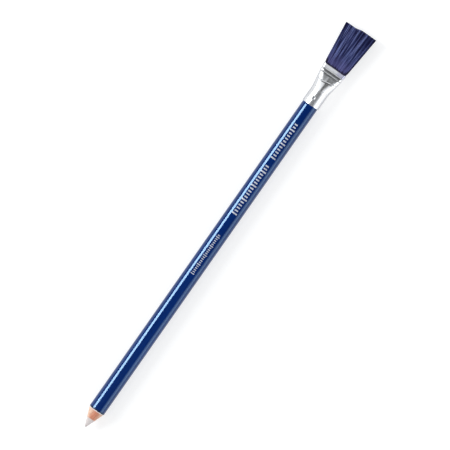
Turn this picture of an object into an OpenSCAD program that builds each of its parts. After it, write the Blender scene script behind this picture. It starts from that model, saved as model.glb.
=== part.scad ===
// Eraser pencil with a brush. A wood-cased rubber core is sharpened at one end, and a flat
// brush stands in a flattened metal ferrule at the other end. The pencil lies along X with its
// point towards -X and the wide face of the brush up, and its ferrule rests on Z = 0.

/* [Pencil] */
// Length from the eraser's point to the pencil's end inside the ferrule
pencil_len = 175; // [120:0.5:190]
// Diameter of the barrel over its paint
barrel_d = 7.5; // [6.8:0.1:9]

/* [Eraser core] */
// Diameter of the rubber core
core_d = 4; // [2.6:0.1:4.6]
// Clearance between the core and the groove in each slat
core_gap = 0.01; // [0:0.01:0.1]
// Radius of the rounded point
point_r = 0.5; // [0.2:0.05:1]
// Half angle of the sharpened cone, in degrees
point_angle = 20.8; // [16:0.1:30]

/* [Coats] */
// Thickness of the white undercoat on the wood
primer_t = 0.12; // [0.08:0.01:0.2]
// Thickness of the blue lacquer on the undercoat
lacquer_t = 0.1; // [0.08:0.01:0.2]

/* [Ferrule seat] */
// Amount by which both coats are rolled in to take the ferrule
seat_cut = 0.05; // [0.02:0.01:0.06]
// Length of the taper from the full barrel down to the seat
seat_taper_len = 0.6; // [0.6:0.1:2]

/* [Ferrule] */
// Wall of the ferrule's round tube
ferrule_wall = 0.34; // [0.2:0.01:0.5]
// Clearance between the seat and the ferrule
ferrule_gap = 0.01; // [0.01:0.01:0.1]
// Length of barrel inside the ferrule
ferrule_grip = 5.4; // [4.5:0.1:7]
// Length of the round tube
tube_len = 7.4; // [7:0.1:12]
// Length over which the round tube turns into the flat mouth
flare_len = 9.5; // [7:0.1:14]
// Length of the parallel lip at the mouth
lip_len = 1.8; // [1.2:0.1:3]
// Outer width of the mouth
mouth_w = 11.2; // [9:0.1:14]
// Outer thickness of the mouth
mouth_t = 2.6; // [2.2:0.1:4]
// Amount by which the flare's sheet is drawn thinner than the tube's wall
flare_thinning = 0.04; // [0.03:0.01:0.06]
// Break on the outer edge of the tube's open end
edge_break = 0.1; // [0.02:0.01:0.15]

/* [Crimp] */
// Width of each groove pressed across the flare
groove_w = 0.8; // [0.4:0.05:1.2]
// Depth of each groove
groove_depth = 0.2; // [0.05:0.01:0.3]
// Width of the ridge between the two grooves
ridge_w = 0.55; // [0.2:0.05:1]
// Distance from the lip back to the nearer groove
groove_back = 0.05; // [0.05:0.05:0.5]

/* [Punch marks] */
// Diameter of each punch mark on the tube
punch_d = 1.3; // [0.6:0.1:2]
// Depth of each punch mark
punch_depth = 0.5; // [0.2:0.05:0.8]
// Diameter of the flat at the bottom of each punch mark
punch_flat_d = 0.3; // [0.1:0.05:0.5]
// Distance from the tube's open end to the centre of the marks
punch_from_end = 3.4; // [1.5:0.1:4.4]
// Turn of the marks round the pencil, in degrees, away from the middle of the wide faces
punch_turn = 7; // [-30:1:30]
// Clearance between a punched bump and the pit that it presses into the barrel
punch_gap = 0.02; // [0.01:0.01:0.1]

/* [Brush] */
// Length of the bristles past the mouth
bristle_len = 20.3; // [12:0.1:30]
// Width of the tuft at its cut end
tuft_end_w = 15.4; // [12:0.1:18]
// Thickness of the tuft at its cut end
tuft_end_t = 3.8; // [2.6:0.1:6]
// Sideways shift of the cut end, towards +Y
tuft_shift = 0.24; // [0:0.01:0.6]
// Amount by which the half of the cut end towards +Y is trimmed shorter
trim_step = 0.65; // [0:0.05:1.5]
// Most by which any one bristle is shorter than its neighbours
trim_scatter = 0.35; // [0:0.05:0.8]
// Diameter round one bristle
strand_d = 0.19; // [0.16:0.01:0.26]
// Least gap between two bristles where they leave the root
strand_gap = 0.04; // [0.03:0.005:0.08]
// Depth of the tuft's root below the mouth's edge
root_recess = 0.5; // [0.1:0.1:0.8]
// Length of the set cement behind the root
cement_len = 5; // [2:0.1:6.5]
// Clearance between the ferrule and what is cast in it
cement_gap = 0.02; // [0.01:0.01:0.1]

/* [Hidden] */
$fn = 96;

// Radii of the layers, from the core out
core_r = core_d / 2;
groove_r = core_r + core_gap;
barrel_r = barrel_d / 2;
primer_r = barrel_r - lacquer_t;
wood_r = primer_r - primer_t;
seat_r = barrel_r - seat_cut;
primer_seat_r = primer_r - seat_cut;

// Ferrule, measured along the pencil from the point
tube_ir = seat_r + ferrule_gap;
tube_r = tube_ir + ferrule_wall;
tube_start = pencil_len - ferrule_grip;
tube_end = tube_start + tube_len;
mouth_at = tube_end + flare_len + lip_len;
mouth_flat = mouth_w - mouth_t;

// Place in the frame
total_len = mouth_at + bristle_len;
axis_h = max(tube_r, tuft_end_t / 2, mouth_t / 2);

// The flare's rings have this many sides
ring_sides = 48;

// The flare starts inside the tube's wall, and runs straight a little way past the tube's end
lap_len = 0.6;
lap_step = 0.01;
lead_len = 0.1;
flare_r = tube_r - lap_step;
flare_wall = ferrule_wall - flare_thinning;

// The rounded point is drawn with this many steps
point_steps = 8;

// Turns a shape drawn along +Z from the point to lie along X, with its +Y side up
module along_pencil() translate([-total_len / 2, 0, axis_h]) rotate([90, 0, 90]) children();

// Distance from the point at which the sharpened cone reaches a radius
function cone_at(r) =
    point_r * (1 - sin(point_angle)) + (r - point_r * cos(point_angle)) / tan(point_angle);

// Half sleeve round the core, cut to the sharpened cone in front
module sharpened_slat()
    rotate_extrude(angle = 180)
        polygon([[groove_r, cone_at(groove_r)], [wood_r, cone_at(wood_r)],
                 [wood_r, pencil_len], [groove_r, pencil_len]]);

// Radial cone at the punch marks, on the upper and the lower side
module punch_cones(grow, reach)
    for (side = [-90, 90])
        translate([0, 0, tube_start + punch_from_end])
            rotate([side, 0, -punch_turn])
                translate([0, 0, tube_r - reach])
                    cylinder(h = reach + 1, r1 = punch_flat_d / 2 + grow,
                             r2 = punch_d / 2 + grow + punch_slope * (reach + 1 - punch_depth));

// Widening of the punch marks for each millimetre of height
punch_slope = (punch_d - punch_flat_d) / 2 / punch_depth;

// Bump that a punch mark raises inside the tube, and its growth by a clearance
bump_grow = flare_wall * 0.6;
bump_reach = punch_depth + flare_wall;

module barrel_pits() punch_cones(bump_grow + punch_gap, bump_reach + punch_gap);

module eraser_core()
    color([0.93, 0.92, 0.9])
        along_pencil()
            rotate_extrude()
                polygon(concat(
                    [for (i = [0 : point_steps])
                        let (q = (90 - point_angle) * i / point_steps)
                            [point_r * sin(q), point_r * (1 - cos(q))]],
                    [[core_r, cone_at(core_r)], [core_r, pencil_len], [0, pencil_len]]));

module casing_slat()
    difference() {
        sharpened_slat();
        barrel_pits();
    }

module casing_slat_upper()
    color([0.85, 0.63, 0.5])
        along_pencil() casing_slat();

module casing_slat_lower()
    color([0.85, 0.63, 0.5])
        along_pencil() rotate([0, 0, 180]) casing_slat();

module primer_coat()
    color([0.95, 0.92, 0.92])
        along_pencil()
            difference() {
                rotate_extrude()
                    polygon([[wood_r, cone_at(wood_r)], [primer_r, cone_at(primer_r)],
                             [primer_r, tube_start - seat_taper_len],
                             [primer_seat_r, tube_start],
                             [primer_seat_r, pencil_len], [wood_r, pencil_len]]);
                barrel_pits();
            }

module lacquer_coat()
    color([0.02, 0.14, 0.4])
        along_pencil()
            difference() {
                rotate_extrude()
                    polygon([[primer_r, cone_at(primer_r)], [barrel_r, cone_at(barrel_r)],
                             [barrel_r, tube_start - seat_taper_len], [seat_r, tube_start],
                             [seat_r, pencil_len], [primer_seat_r, pencil_len],
                             [primer_seat_r, tube_start],
                             [primer_r, tube_start - seat_taper_len]]);
                barrel_pits();
            }

// Start of a crimp groove, past the tube's end, counted back from the lip
function groove_start(i) = flare_len - groove_back - groove_w - i * (groove_w + ridge_w);

// Depth of the crimp grooves at a distance past the tube's end
function groove_dip(x) =
    let (across = [for (i = [0, 1]) (x - groove_start(i)) / groove_w],
         dips = [for (f = across) f > 0 && f < 1 ? groove_depth * (1 - cos(360 * f)) / 2 : 0])
    max(dips);

// One ring of the flare's outline: two half circles joined by flats, drawn in by an inset
function flare_ring(x, inset) =
    let (share = min(max((x - lead_len) / (flare_len - lead_len), 0), 1),
         flat = mouth_flat / 2 * share,
         r = flare_r + (mouth_t / 2 - flare_r) * share - inset,
         dip = groove_dip(x))
    [for (k = [0 : ring_sides - 1])
        let (q = (k + 0.5) * 360 / ring_sides)
            [sign(cos(q)) * flat + r * cos(q), (r - dip) * sin(q), tube_end + x]];

// Distances past the tube's end at which the flare has a ring
groove_steps = [0, 0.25, 0.5, 0.75, 1];
flare_stations = concat(
    [-lap_len, lead_len],
    [for (i = [1, 0]) for (f = groove_steps) groove_start(i) + f * groove_w],
    [flare_len, flare_len + lip_len]);

// Triangles between two rings of a stack, facing out, or in where flipped
function band(low, high, flipped = false) =
    [for (k = [0 : ring_sides - 1])
        let (j = (k + 1) % ring_sides)
            each flipped
                ? [[low + k, low + j, high + j], [low + k, high + j, high + k]]
                : [[low + k, high + j, low + j], [low + k, high + k, high + j]]];

// Open tube between an outer and an inner stack of rings
module ring_shell(stations, outer_inset, inner_inset) {
    count = len(stations);
    inner = count * ring_sides;
    last = (count - 1) * ring_sides;
    polyhedron(
        points = concat([for (x = stations) each flare_ring(x, outer_inset)],
                        [for (x = stations) each flare_ring(x, inner_inset)]),
        faces = concat(
            [for (i = [0 : count - 2]) each band(i * ring_sides, (i + 1) * ring_sides)],
            [for (i = [0 : count - 2])
                each band(inner + i * ring_sides, inner + (i + 1) * ring_sides, true)],
            band(inner, 0),
            band(last, inner + last)));
}

// Closed solid through a stack of rings
module ring_solid(stations, inset) {
    last = (len(stations) - 1) * ring_sides;
    polyhedron(
        points = [for (x = stations) each flare_ring(x, inset)],
        faces = concat(
            [for (i = [0 : len(stations) - 2])
                each band(i * ring_sides, (i + 1) * ring_sides)],
            [[for (k = [0 : ring_sides - 1]) k]],
            [[for (k = [ring_sides - 1 : -1 : 0]) last + k]]));
}

module ferrule_tube()
    rotate_extrude()
        polygon([[tube_ir, tube_start], [tube_r - edge_break, tube_start],
                 [tube_r, tube_start + edge_break], [tube_r, tube_end], [tube_ir, tube_end]]);

// Bumps inside the tube, cut off at its outer surface
module punch_bumps()
    intersection() {
        punch_cones(bump_grow, bump_reach);
        translate([0, 0, tube_start]) cylinder(h = tube_len, r = tube_r - ferrule_wall / 2);
    }

module ferrule()
    color([0.8, 0.81, 0.83])
        along_pencil()
            difference() {
                union() {
                    ferrule_tube();
                    punch_bumps();
                    ring_shell(flare_stations, 0, flare_wall);
                }
                punch_cones(0, punch_depth);
            }

// What is cast in the flare stops where the lip starts
cement_start = flare_len - cement_len;
cement_stations = concat(
    [cement_start],
    [for (x = flare_stations) if (x > cement_start && x < flare_len) x],
    [flare_len]);

module root_cement()
    color([0.55, 0.5, 0.4])
        along_pencil() ring_solid(cement_stations, flare_wall + cement_gap);

// The tuft's root fills the lip behind its recess, with this much height over and under its middle
root_at = mouth_at - root_recess;
root_r = (mouth_t / 2 - flare_wall - cement_gap) * cos(180 / ring_sides);

module tuft_root()
    ring_solid([flare_len, flare_len + lip_len - root_recess], flare_wall + cement_gap);

// Bristles stand in staggered rows across the root
strand_pitch = strand_d + strand_gap;
row_pitch = strand_pitch * sin(60);
field_r = root_r - strand_d / 2 - strand_gap;
row_count = 1 + 2 * floor(field_r / row_pitch);
function row_half(h) = mouth_flat / 2 + sqrt(field_r * field_r - h * h);

strand_roots = [for (j = [0 : row_count - 1])
    let (h = (j - (row_count - 1) / 2) * row_pitch,
         half = row_half(h),
         shift = (j % 2) * strand_pitch / 2,
         count = floor((2 * half - shift) / strand_pitch))
    for (k = [0 : count])
        [shift + (k - count / 2) * strand_pitch - strand_pitch / 4, h]];

// Growth of the field of bristles from the root to the cut end
root_half_w = mouth_flat / 2 + field_r;
spread_w = (tuft_end_w / 2 - strand_d / 2) / root_half_w;
spread_t = (tuft_end_t / 2 - strand_d / 2) / field_r;

// The trimmed half of the end joins the full one in a smooth step across the middle
trim_from = -0.03;
trim_to = 0.22;
function trim_at(w) =
    let (f = min(max((w / tuft_end_w - trim_from) / (trim_to - trim_from), 0), 1))
    trim_step * (1 - cos(180 * f)) / 2;

// Fixed seed of the scatter in length and lean
trim_seed = 7;
lean_seed = 19;
strand_lean = strand_gap * 0.4;
strand_cuts = rands(0, trim_scatter, len(strand_roots), trim_seed);
strand_leans = rands(-strand_lean, strand_lean, len(strand_roots), lean_seed);

// The root end of each bristle is sunk this far in the tuft's root
root_sink = 0.4;

function strand_ring(centre, at) =
    [for (q = [90, 210, 330])
        [centre[0] + strand_d / 2 * cos(q), centre[1] + strand_d / 2 * sin(q), at]];

function strand_points(i) =
    let (root = strand_roots[i],
         tip = [root[0] * spread_w + tuft_shift + strand_leans[i], root[1] * spread_t])
    concat(strand_ring(root, root_at - root_sink),
           strand_ring(tip, total_len - trim_at(tip[0]) - strand_cuts[i]));

function strand_faces(i) =
    let (b = 6 * i)
    [[b, b + 1, b + 2], [b + 5, b + 4, b + 3],
     [b, b + 4, b + 1], [b, b + 3, b + 4],
     [b + 1, b + 5, b + 2], [b + 1, b + 4, b + 5],
     [b + 2, b + 3, b], [b + 2, b + 5, b + 3]];

module bristle_tuft()
    color([0.22, 0.22, 0.42])
        along_pencil()
            union() {
                tuft_root();
                polyhedron(
                    points = [for (i = [0 : len(strand_roots) - 1]) each strand_points(i)],
                    faces = [for (i = [0 : len(strand_roots) - 1]) each strand_faces(i)]);
            }

eraser_core();
casing_slat_upper();
casing_slat_lower();
primer_coat();
lacquer_coat();
ferrule();
root_cement();
bristle_tuft();
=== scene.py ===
"""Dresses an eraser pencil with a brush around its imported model, for rendering and export.

The pencil lies along X with its point towards -X, the wide face of the brush up and the ferrule
on the floor. Lengths are in metres. Angles round the pencil start at +Y and turn towards +Z, so
that 90 degrees is the line that faces the camera.
"""

import logging
import math
from collections.abc import Callable, Sequence
from dataclasses import dataclass
from enum import Enum
from functools import partial, partialmethod, reduce
from typing import ClassVar

import bmesh
import bpy
import numpy as np
from mathutils import Matrix, Vector


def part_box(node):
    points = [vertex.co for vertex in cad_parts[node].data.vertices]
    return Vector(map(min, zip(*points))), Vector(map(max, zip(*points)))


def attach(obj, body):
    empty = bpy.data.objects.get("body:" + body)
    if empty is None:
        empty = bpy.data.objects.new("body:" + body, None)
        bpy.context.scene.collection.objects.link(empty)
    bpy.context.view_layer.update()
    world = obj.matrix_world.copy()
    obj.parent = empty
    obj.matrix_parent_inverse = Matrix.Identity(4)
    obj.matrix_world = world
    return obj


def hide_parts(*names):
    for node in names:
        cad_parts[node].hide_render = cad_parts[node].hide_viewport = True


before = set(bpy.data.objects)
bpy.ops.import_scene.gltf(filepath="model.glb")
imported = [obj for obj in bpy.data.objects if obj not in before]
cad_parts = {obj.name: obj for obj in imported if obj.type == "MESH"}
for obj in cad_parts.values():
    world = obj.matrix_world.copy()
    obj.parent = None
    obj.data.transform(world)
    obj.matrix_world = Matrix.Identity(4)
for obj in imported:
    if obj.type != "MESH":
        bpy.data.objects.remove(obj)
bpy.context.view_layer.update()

Colour = tuple[float, float, float]
Triple = tuple[float, float, float]
# Start and end of a range, and what they are mapped to
Ramp = tuple[float, float, float, float]

MM = 0.001
LOG = logging.getLogger("eraser_pencil")


# Helpers for shapes


def soft_step(share: np.ndarray | float) -> np.ndarray | float:
    """Smooth step from 0 to 1 over a share of 0 to 1."""
    f = np.clip(share, 0.0, 1.0)
    return f * f * (3.0 - 2.0 * f)


def soft_ramp(share: float, bend: float) -> float:
    """Straight ramp from 0 to 1 with a rounded start and end.

    Args:
        share: Place on the ramp, 0 at its start and 1 at its end.
        bend: Half length of each rounded bend, as a share of the ramp.

    Returns:
        Height of the ramp.
    """
    if share > 0.5:
        return 1.0 - soft_ramp(1.0 - share, bend)
    if share >= bend:
        return share
    return max(share + bend, 0.0) ** 2 / (4.0 * bend)


def cosine_dip(share: np.ndarray | float) -> np.ndarray | float:
    """Depth of a rounded groove, 1 in its middle and 0 at a share of 0 or 1."""
    return (1.0 - np.cos(math.tau * np.clip(share, 0.0, 1.0))) / 2.0


@dataclass(frozen=True)
class Corner:
    """Corner of a profile.

    Attributes:
        x: Place along the pencil.
        r: Distance from its axis.
        cut: Length trimmed off each side to round the corner.
    """

    x: float
    r: float
    cut: float = 0.0


def rounded(corners: Sequence[Corner], closed: bool = True, steps: int = 6) -> np.ndarray:
    """Rounds the corners of a profile.

    Args:
        corners: The profile's corners in order.
        closed: Whether the last corner joins the first.
        steps: Points on each rounded corner.

    Returns:
        Points of the profile, one row of x and r each.
    """
    points: list[np.ndarray] = []
    last = len(corners) - 1
    for i, corner in enumerate(corners):
        here = np.array([corner.x, corner.r])
        if corner.cut == 0.0 or (not closed and i in (0, last)):
            points.append(here)
            continue
        sides = []
        for other in (corners[i - 1], corners[(i + 1) % len(corners)]):
            way = np.array([other.x, other.r]) - here
            sides.append(here + way * (corner.cut / np.linalg.norm(way)))
        for t in np.linspace(0.0, 1.0, steps):
            points.append((1 - t) ** 2 * sides[0] + 2 * t * (1 - t) * here + t**2 * sides[1])
    return np.array(points)


def spaced(path: np.ndarray, gap: Callable[[float], float], closed: bool = True) -> np.ndarray:
    """Adds points to a profile so that the mesh is fine where it has to be.

    Args:
        path: Rows of x and r.
        gap: Gives the spacing wanted at a place along the pencil.
        closed: Whether the last point joins the first.

    Returns:
        The denser profile.
    """
    points: list[np.ndarray] = []
    for i in range(len(path) if closed else len(path) - 1):
        start, end = path[i], path[(i + 1) % len(path)]
        length = float(np.linalg.norm(end - start))
        spot = 0.0
        while spot == 0.0 or spot + 0.5 * gap(points[-1][0]) < length:
            points.append(start + (end - start) * (spot / length))
            spot += gap(points[-1][0])
    if not closed:
        points.append(path[-1])
    return np.array(points)


@dataclass(frozen=True)
class Unevenness:
    """Smooth unevenness round the pencil, the same on every run.

    Attributes:
        seed: Fixes the waves.
        size: Greatest height of the unevenness.
        waves: Number of waves that are added up.
    """

    seed: int
    size: float
    waves: int = 9

    def at(self, angles: np.ndarray) -> np.ndarray:
        """Adds up the waves.

        Args:
            angles: Angles round the pencil.

        Returns:
            Height of the unevenness at each angle.
        """
        pick = np.random.default_rng(self.seed)
        total = np.zeros_like(angles)
        for turn in range(2, 2 + self.waves):
            total += pick.normal() * np.cos(turn * angles + pick.uniform(0, math.tau)) / turn
        return total * self.size / np.abs(total).max()


@dataclass(frozen=True)
class PunchMark:
    """Round dent that is punched through the ferrule into the pencil.

    Attributes:
        x: Place along the pencil.
        angle: Place round it.
        radius: Radius of the dent's rim.
        depth: Depth in its middle.
    """

    x: float
    angle: float
    radius: float
    depth: float

    def depth_at(self, x: np.ndarray, angles: np.ndarray, r: float) -> np.ndarray:
        """Depth of the dent at points on a cylinder.

        Args:
            x: Places along the pencil.
            angles: Places round it.
            r: Radius of the cylinder on which the distances are measured.

        Returns:
            Depth at each point.
        """
        away = np.hypot(*self.offsets(x, angles, r)) / self.radius
        bowl = np.maximum(1.0 - away**2, 0.0)
        return self.depth * bowl**2 / (bowl + 0.12)

    def offsets(self, x: np.ndarray, angles: np.ndarray, r: float) -> tuple[np.ndarray, np.ndarray]:
        """Distances from the dent's middle along the pencil and round it."""
        turn = (angles - self.angle + math.pi) % math.tau - math.pi
        return x - self.x, turn * r

    def slit_at(self, x: np.ndarray, angles: np.ndarray, r: float) -> np.ndarray:
        """Share of grime and painted shade in the slanting slit that the punch left in the dent's +Y
        side.

        Args:
            x: Places along the pencil.
            angles: Places round it.
            r: Radius of the cylinder on which the distances are measured.

        Returns:
            Share at each point.
        """
        along, across = self.offsets(x, angles, r)
        across = -across * math.copysign(1.0, math.sin(self.angle)) - 0.55 * self.radius
        far = np.abs(0.8 * along + 0.6 * across) / (1.05 * self.radius)
        off = np.abs(0.8 * across - 0.6 * along) / (0.32 * self.radius)
        return np.clip(1.6 - far, 0.0, 1.0) * np.clip(1.6 - off, 0.0, 1.0)


class Skin:
    """Gathers the grids and caps of one closed surface."""

    def __init__(self) -> None:
        """Starts with no points and no faces."""
        self.points = np.zeros((0, 3))
        self.faces: list[tuple[int, ...]] = []

    def grid(self, rows: np.ndarray, wrap_rows: bool = False, wrap_cols: bool = True) -> np.ndarray:
        """Adds a sheet of quads.

        Args:
            rows: Points as an array of rows, columns and x, y, z.
            wrap_rows: Whether the last row joins the first.
            wrap_cols: Whether the last column joins the first.

        Returns:
            Numbers of the points, by row and column.
        """
        ids = np.arange(rows.shape[0] * rows.shape[1]).reshape(rows.shape[:2]) + len(self.points)
        self.points = np.vstack([self.points, rows.reshape(-1, 3)])
        full = np.vstack([ids, ids[:1]]) if wrap_rows else ids
        full = np.hstack([full, full[:, :1]]) if wrap_cols else full
        quads = [full[:-1, :-1], full[:-1, 1:], full[1:, 1:], full[1:, :-1]]
        self.faces += [tuple(q) for q in np.stack(quads, axis=-1).reshape(-1, 4).tolist()]
        return ids

    def fan(self, rim: np.ndarray, tip: Triple) -> None:
        """Closes a rim with triangles that meet in one point.

        Args:
            rim: Numbers of the rim's points.
            tip: The point that they meet in.
        """
        top = len(self.points)
        self.points = np.vstack([self.points, [tip]])
        ring = rim.tolist()
        self.faces += [(a, b, top) for a, b in zip(ring, ring[1:] + ring[:1])]

    def lid(self, rim: np.ndarray) -> None:
        """Closes a flat rim with one face."""
        self.faces.append(tuple(rim.tolist()))

    def build(self, name: str, masks: dict[str, np.ndarray] | None = None) -> bpy.types.Object:
        """Makes the object, with its faces pointing out.

        Args:
            name: Name of the piece.
            masks: Values for each point that the materials read, by name.

        Returns:
            The new object, not yet in the scene.
        """
        mesh = bpy.data.meshes.new(name)
        mesh.from_pydata(self.points.tolist(), [], self.faces)
        for key, values in (masks or {}).items():
            layer = mesh.attributes.new(key, "FLOAT", "POINT")
            layer.data.foreach_set("value", np.ascontiguousarray(values, np.float32).ravel())
        point_out(mesh)
        return bpy.data.objects.new(name, mesh)


def point_out(mesh: bpy.types.Mesh) -> None:
    """Turns the faces of a closed mesh outwards.

    Args:
        mesh: The mesh.
    """
    work = bmesh.new()
    work.from_mesh(mesh)
    bmesh.ops.recalc_face_normals(work, faces=work.faces)
    work.to_mesh(mesh)
    work.free()


def turned(profile: np.ndarray, angles: np.ndarray, axis_z: float) -> np.ndarray:
    """Sweeps a profile round the pencil.

    Args:
        profile: Rows of x and r.
        angles: Angles of the sweep.
        axis_z: Height of the axis.

    Returns:
        Points by profile row and angle.
    """
    x = np.repeat(profile[:, :1], len(angles), axis=1)
    r = profile[:, 1:]
    return np.stack([x, r * np.cos(angles), axis_z + r * np.sin(angles)], axis=-1)


def pressed(rows: np.ndarray, axis_z: float, marks: Sequence[PunchMark], still_r: float,
            seat_r: float) -> np.ndarray:
    """Presses punch marks into nested layers, deepest at the seat and nothing at the core.

    Args:
        rows: Points in an array whose last axis is x, y, z.
        axis_z: Height of the axis.
        marks: The punch marks.
        still_r: Radius below which nothing moves.
        seat_r: Radius at which a mark has its whole depth.

    Returns:
        The moved points.
    """
    x, y, z = rows[..., 0], rows[..., 1], rows[..., 2] - axis_z
    r, angles = np.hypot(y, z), np.arctan2(z, y)
    share = np.clip((r - still_r) / (seat_r - still_r), 0.0, 1.0)
    sunk = r.copy()
    for mark in marks:
        sunk -= share * mark.depth_at(x, angles, seat_r)
    return np.stack([x, sunk * np.cos(angles), axis_z + sunk * np.sin(angles)], axis=-1)


def angles_round(marks: Sequence[PunchMark], step: float = 2.5, fine: float = 0.8,
                 reach: float = 13.0) -> np.ndarray:
    """Angles for a full sweep, closer together at the punch marks.

    Args:
        marks: The punch marks.
        step: Usual step in degrees.
        fine: Step at a mark in degrees.
        reach: Fine stretch on each side of a mark in degrees.

    Returns:
        Angles in radians, in order.
    """
    usual = np.arange(0.0, 360.0, step)
    for mark in marks:
        middle = math.degrees(mark.angle) % 360.0
        usual = usual[np.abs(usual - middle) > reach + fine]
        usual = np.concatenate([usual, np.arange(middle - reach, middle + reach, fine)])
    return np.radians(np.sort(usual))


# Helpers for node trees


@dataclass(frozen=True)
class Term:
    """Value on a wire of a node tree, which plain arithmetic carries on with.

    Attributes:
        bench: Bench of the tree.
        socket: Output that gives the value.
    """

    bench: "Bench"
    socket: bpy.types.NodeSocket

    @property
    def is_vector(self) -> bool:
        """Whether the value is a vector."""
        return self.socket.type == "VECTOR"

    def merged(self, operation: str, *values: object) -> "Term":
        """Result of an operation on whole vectors or on numbers."""
        work = self.bench.vector if self.is_vector else self.bench.math
        return work(operation, *values)

    def __add__(self, other: object) -> "Term":
        """Sum of this and another value."""
        return self.merged("ADD", self, other)

    def __sub__(self, other: object) -> "Term":
        """This less another value."""
        return self.merged("SUBTRACT", self, other)

    def __rsub__(self, other: object) -> "Term":
        """Another value less this."""
        return self.merged("SUBTRACT", other, self)

    def __mul__(self, factor: object) -> "Term":
        """This times a number."""
        if self.is_vector:
            feeds = {"Vector": self, "Scale": factor}
            return self.bench.get("ShaderNodeVectorMath", feeds, operation="SCALE")
        return self.bench.math("MULTIPLY", self, factor)

    def __truediv__(self, other: object) -> "Term":
        """This number divided by another."""
        return self.bench.math("DIVIDE", self, other)

    def __abs__(self) -> "Term":
        """Size of this number."""
        return self.bench.math("ABSOLUTE", self)


class Bench:
    """Adds nodes to one tree and links them, for materials and geometry alike."""

    def __init__(self, tree: bpy.types.NodeTree) -> None:
        """Takes the tree to work on."""
        self.tree = tree

    @staticmethod
    def entry(node: bpy.types.Node, key: int | str) -> bpy.types.NodeSocket:
        """Input of a node, by its place or by its name among those in use."""
        if isinstance(key, int):
            return node.inputs[key]
        return next(s for s in node.inputs if s.name == key and s.enabled)

    def out(self, node: bpy.types.Node, key: int | str = 0) -> Term:
        """Output of a node, by its place or its name among those in use."""
        used = [s for s in node.outputs if s.enabled]
        return Term(self, used[key] if isinstance(key, int) else next(
            s for s in used if s.name == key))

    def feed(self, node: bpy.types.Node, feeds: dict[int | str, object]) -> None:
        """Links terms to the inputs of a node, or sets them to constants.

        Args:
            node: The node.
            feeds: Terms, numbers, texts or tuples, by the input's place or name.
        """
        for key, value in feeds.items():
            socket = self.entry(node, key)
            if isinstance(value, Term):
                self.tree.links.new(value.socket, socket)
            elif socket.type == "RGBA" and len(value) == 3:
                socket.default_value = (*value, 1.0)
            else:
                socket.default_value = value

    def add(self, kind: str, feeds: dict[int | str, object] | None = None,
            **settings: object) -> bpy.types.Node:
        """Adds a node.

        Args:
            kind: The node's type name.
            feeds: What goes into its inputs.
            **settings: Its own settings.

        Returns:
            The node.
        """
        node = self.tree.nodes.new(kind)
        for name, value in settings.items():
            setattr(node, name, value)
        self.feed(node, feeds or {})
        return node

    def get(self, kind: str, feeds: dict[int | str, object] | None = None,
            key: int | str = 0, **settings: object) -> Term:
        """Adds a node and takes one of its outputs, by its place or name."""
        return self.out(self.add(kind, feeds, **settings), key)

    def math(self, operation: str, *values: object, clamp: bool = False) -> Term:
        """Result of a Math node."""
        return self.get("ShaderNodeMath", dict(enumerate(values)), operation=operation,
                        use_clamp=clamp)

    def vector(self, operation: str, *values: object) -> Term:
        """Result of a Vector Math node on whole vectors."""
        return self.get("ShaderNodeVectorMath", dict(enumerate(values)), operation=operation)

    def remap(self, value: Term, low: float, high: float, to_low: float = 0.0,
              to_high: float = 1.0, course: str = "LINEAR") -> Term:
        """Maps a range to another, and clamps it.

        Args:
            value: What is mapped.
            low: Start of the old range.
            high: End of the old range.
            to_low: Start of the new range.
            to_high: End of the new range.
            course: Way in which the value changes between the ends.

        Returns:
            The mapped value.
        """
        feeds = {"Value": value, "From Min": low, "From Max": high, "To Min": to_low,
                 "To Max": to_high}
        return self.get("ShaderNodeMapRange", feeds, interpolation_type=course)

    ease = partialmethod(remap, course="SMOOTHSTEP")

    def blend(self, share: object, first: object, second: object) -> Term:
        """Mixes two colours by the share of the second."""
        feeds = {"Factor": share, "A": first, "B": second}
        return self.get("ShaderNodeMix", feeds, data_type="RGBA")

    def parts(self, vector: Term) -> tuple[Term, Term, Term]:
        """The x, y and z of a vector."""
        node = self.add("ShaderNodeSeparateXYZ", {0: vector})
        return self.out(node, 0), self.out(node, 1), self.out(node, 2)

    def joined(self, x: object, y: object, z: object) -> Term:
        """A vector made of x, y and z."""
        return self.get("ShaderNodeCombineXYZ", {0: x, 1: y, 2: z})

    def ray(self, *kinds: str) -> Term:
        """Tells apart the kinds of rays that meet a surface.

        Args:
            *kinds: Kinds such as Camera.

        Returns:
            1 for rays of these kinds, and 0 for all others.
        """
        path = self.add("ShaderNodeLightPath")
        terms = [self.out(path, f"Is {kind} Ray") for kind in kinds]
        return reduce(partial(self.math, "MAXIMUM"), terms)


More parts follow.
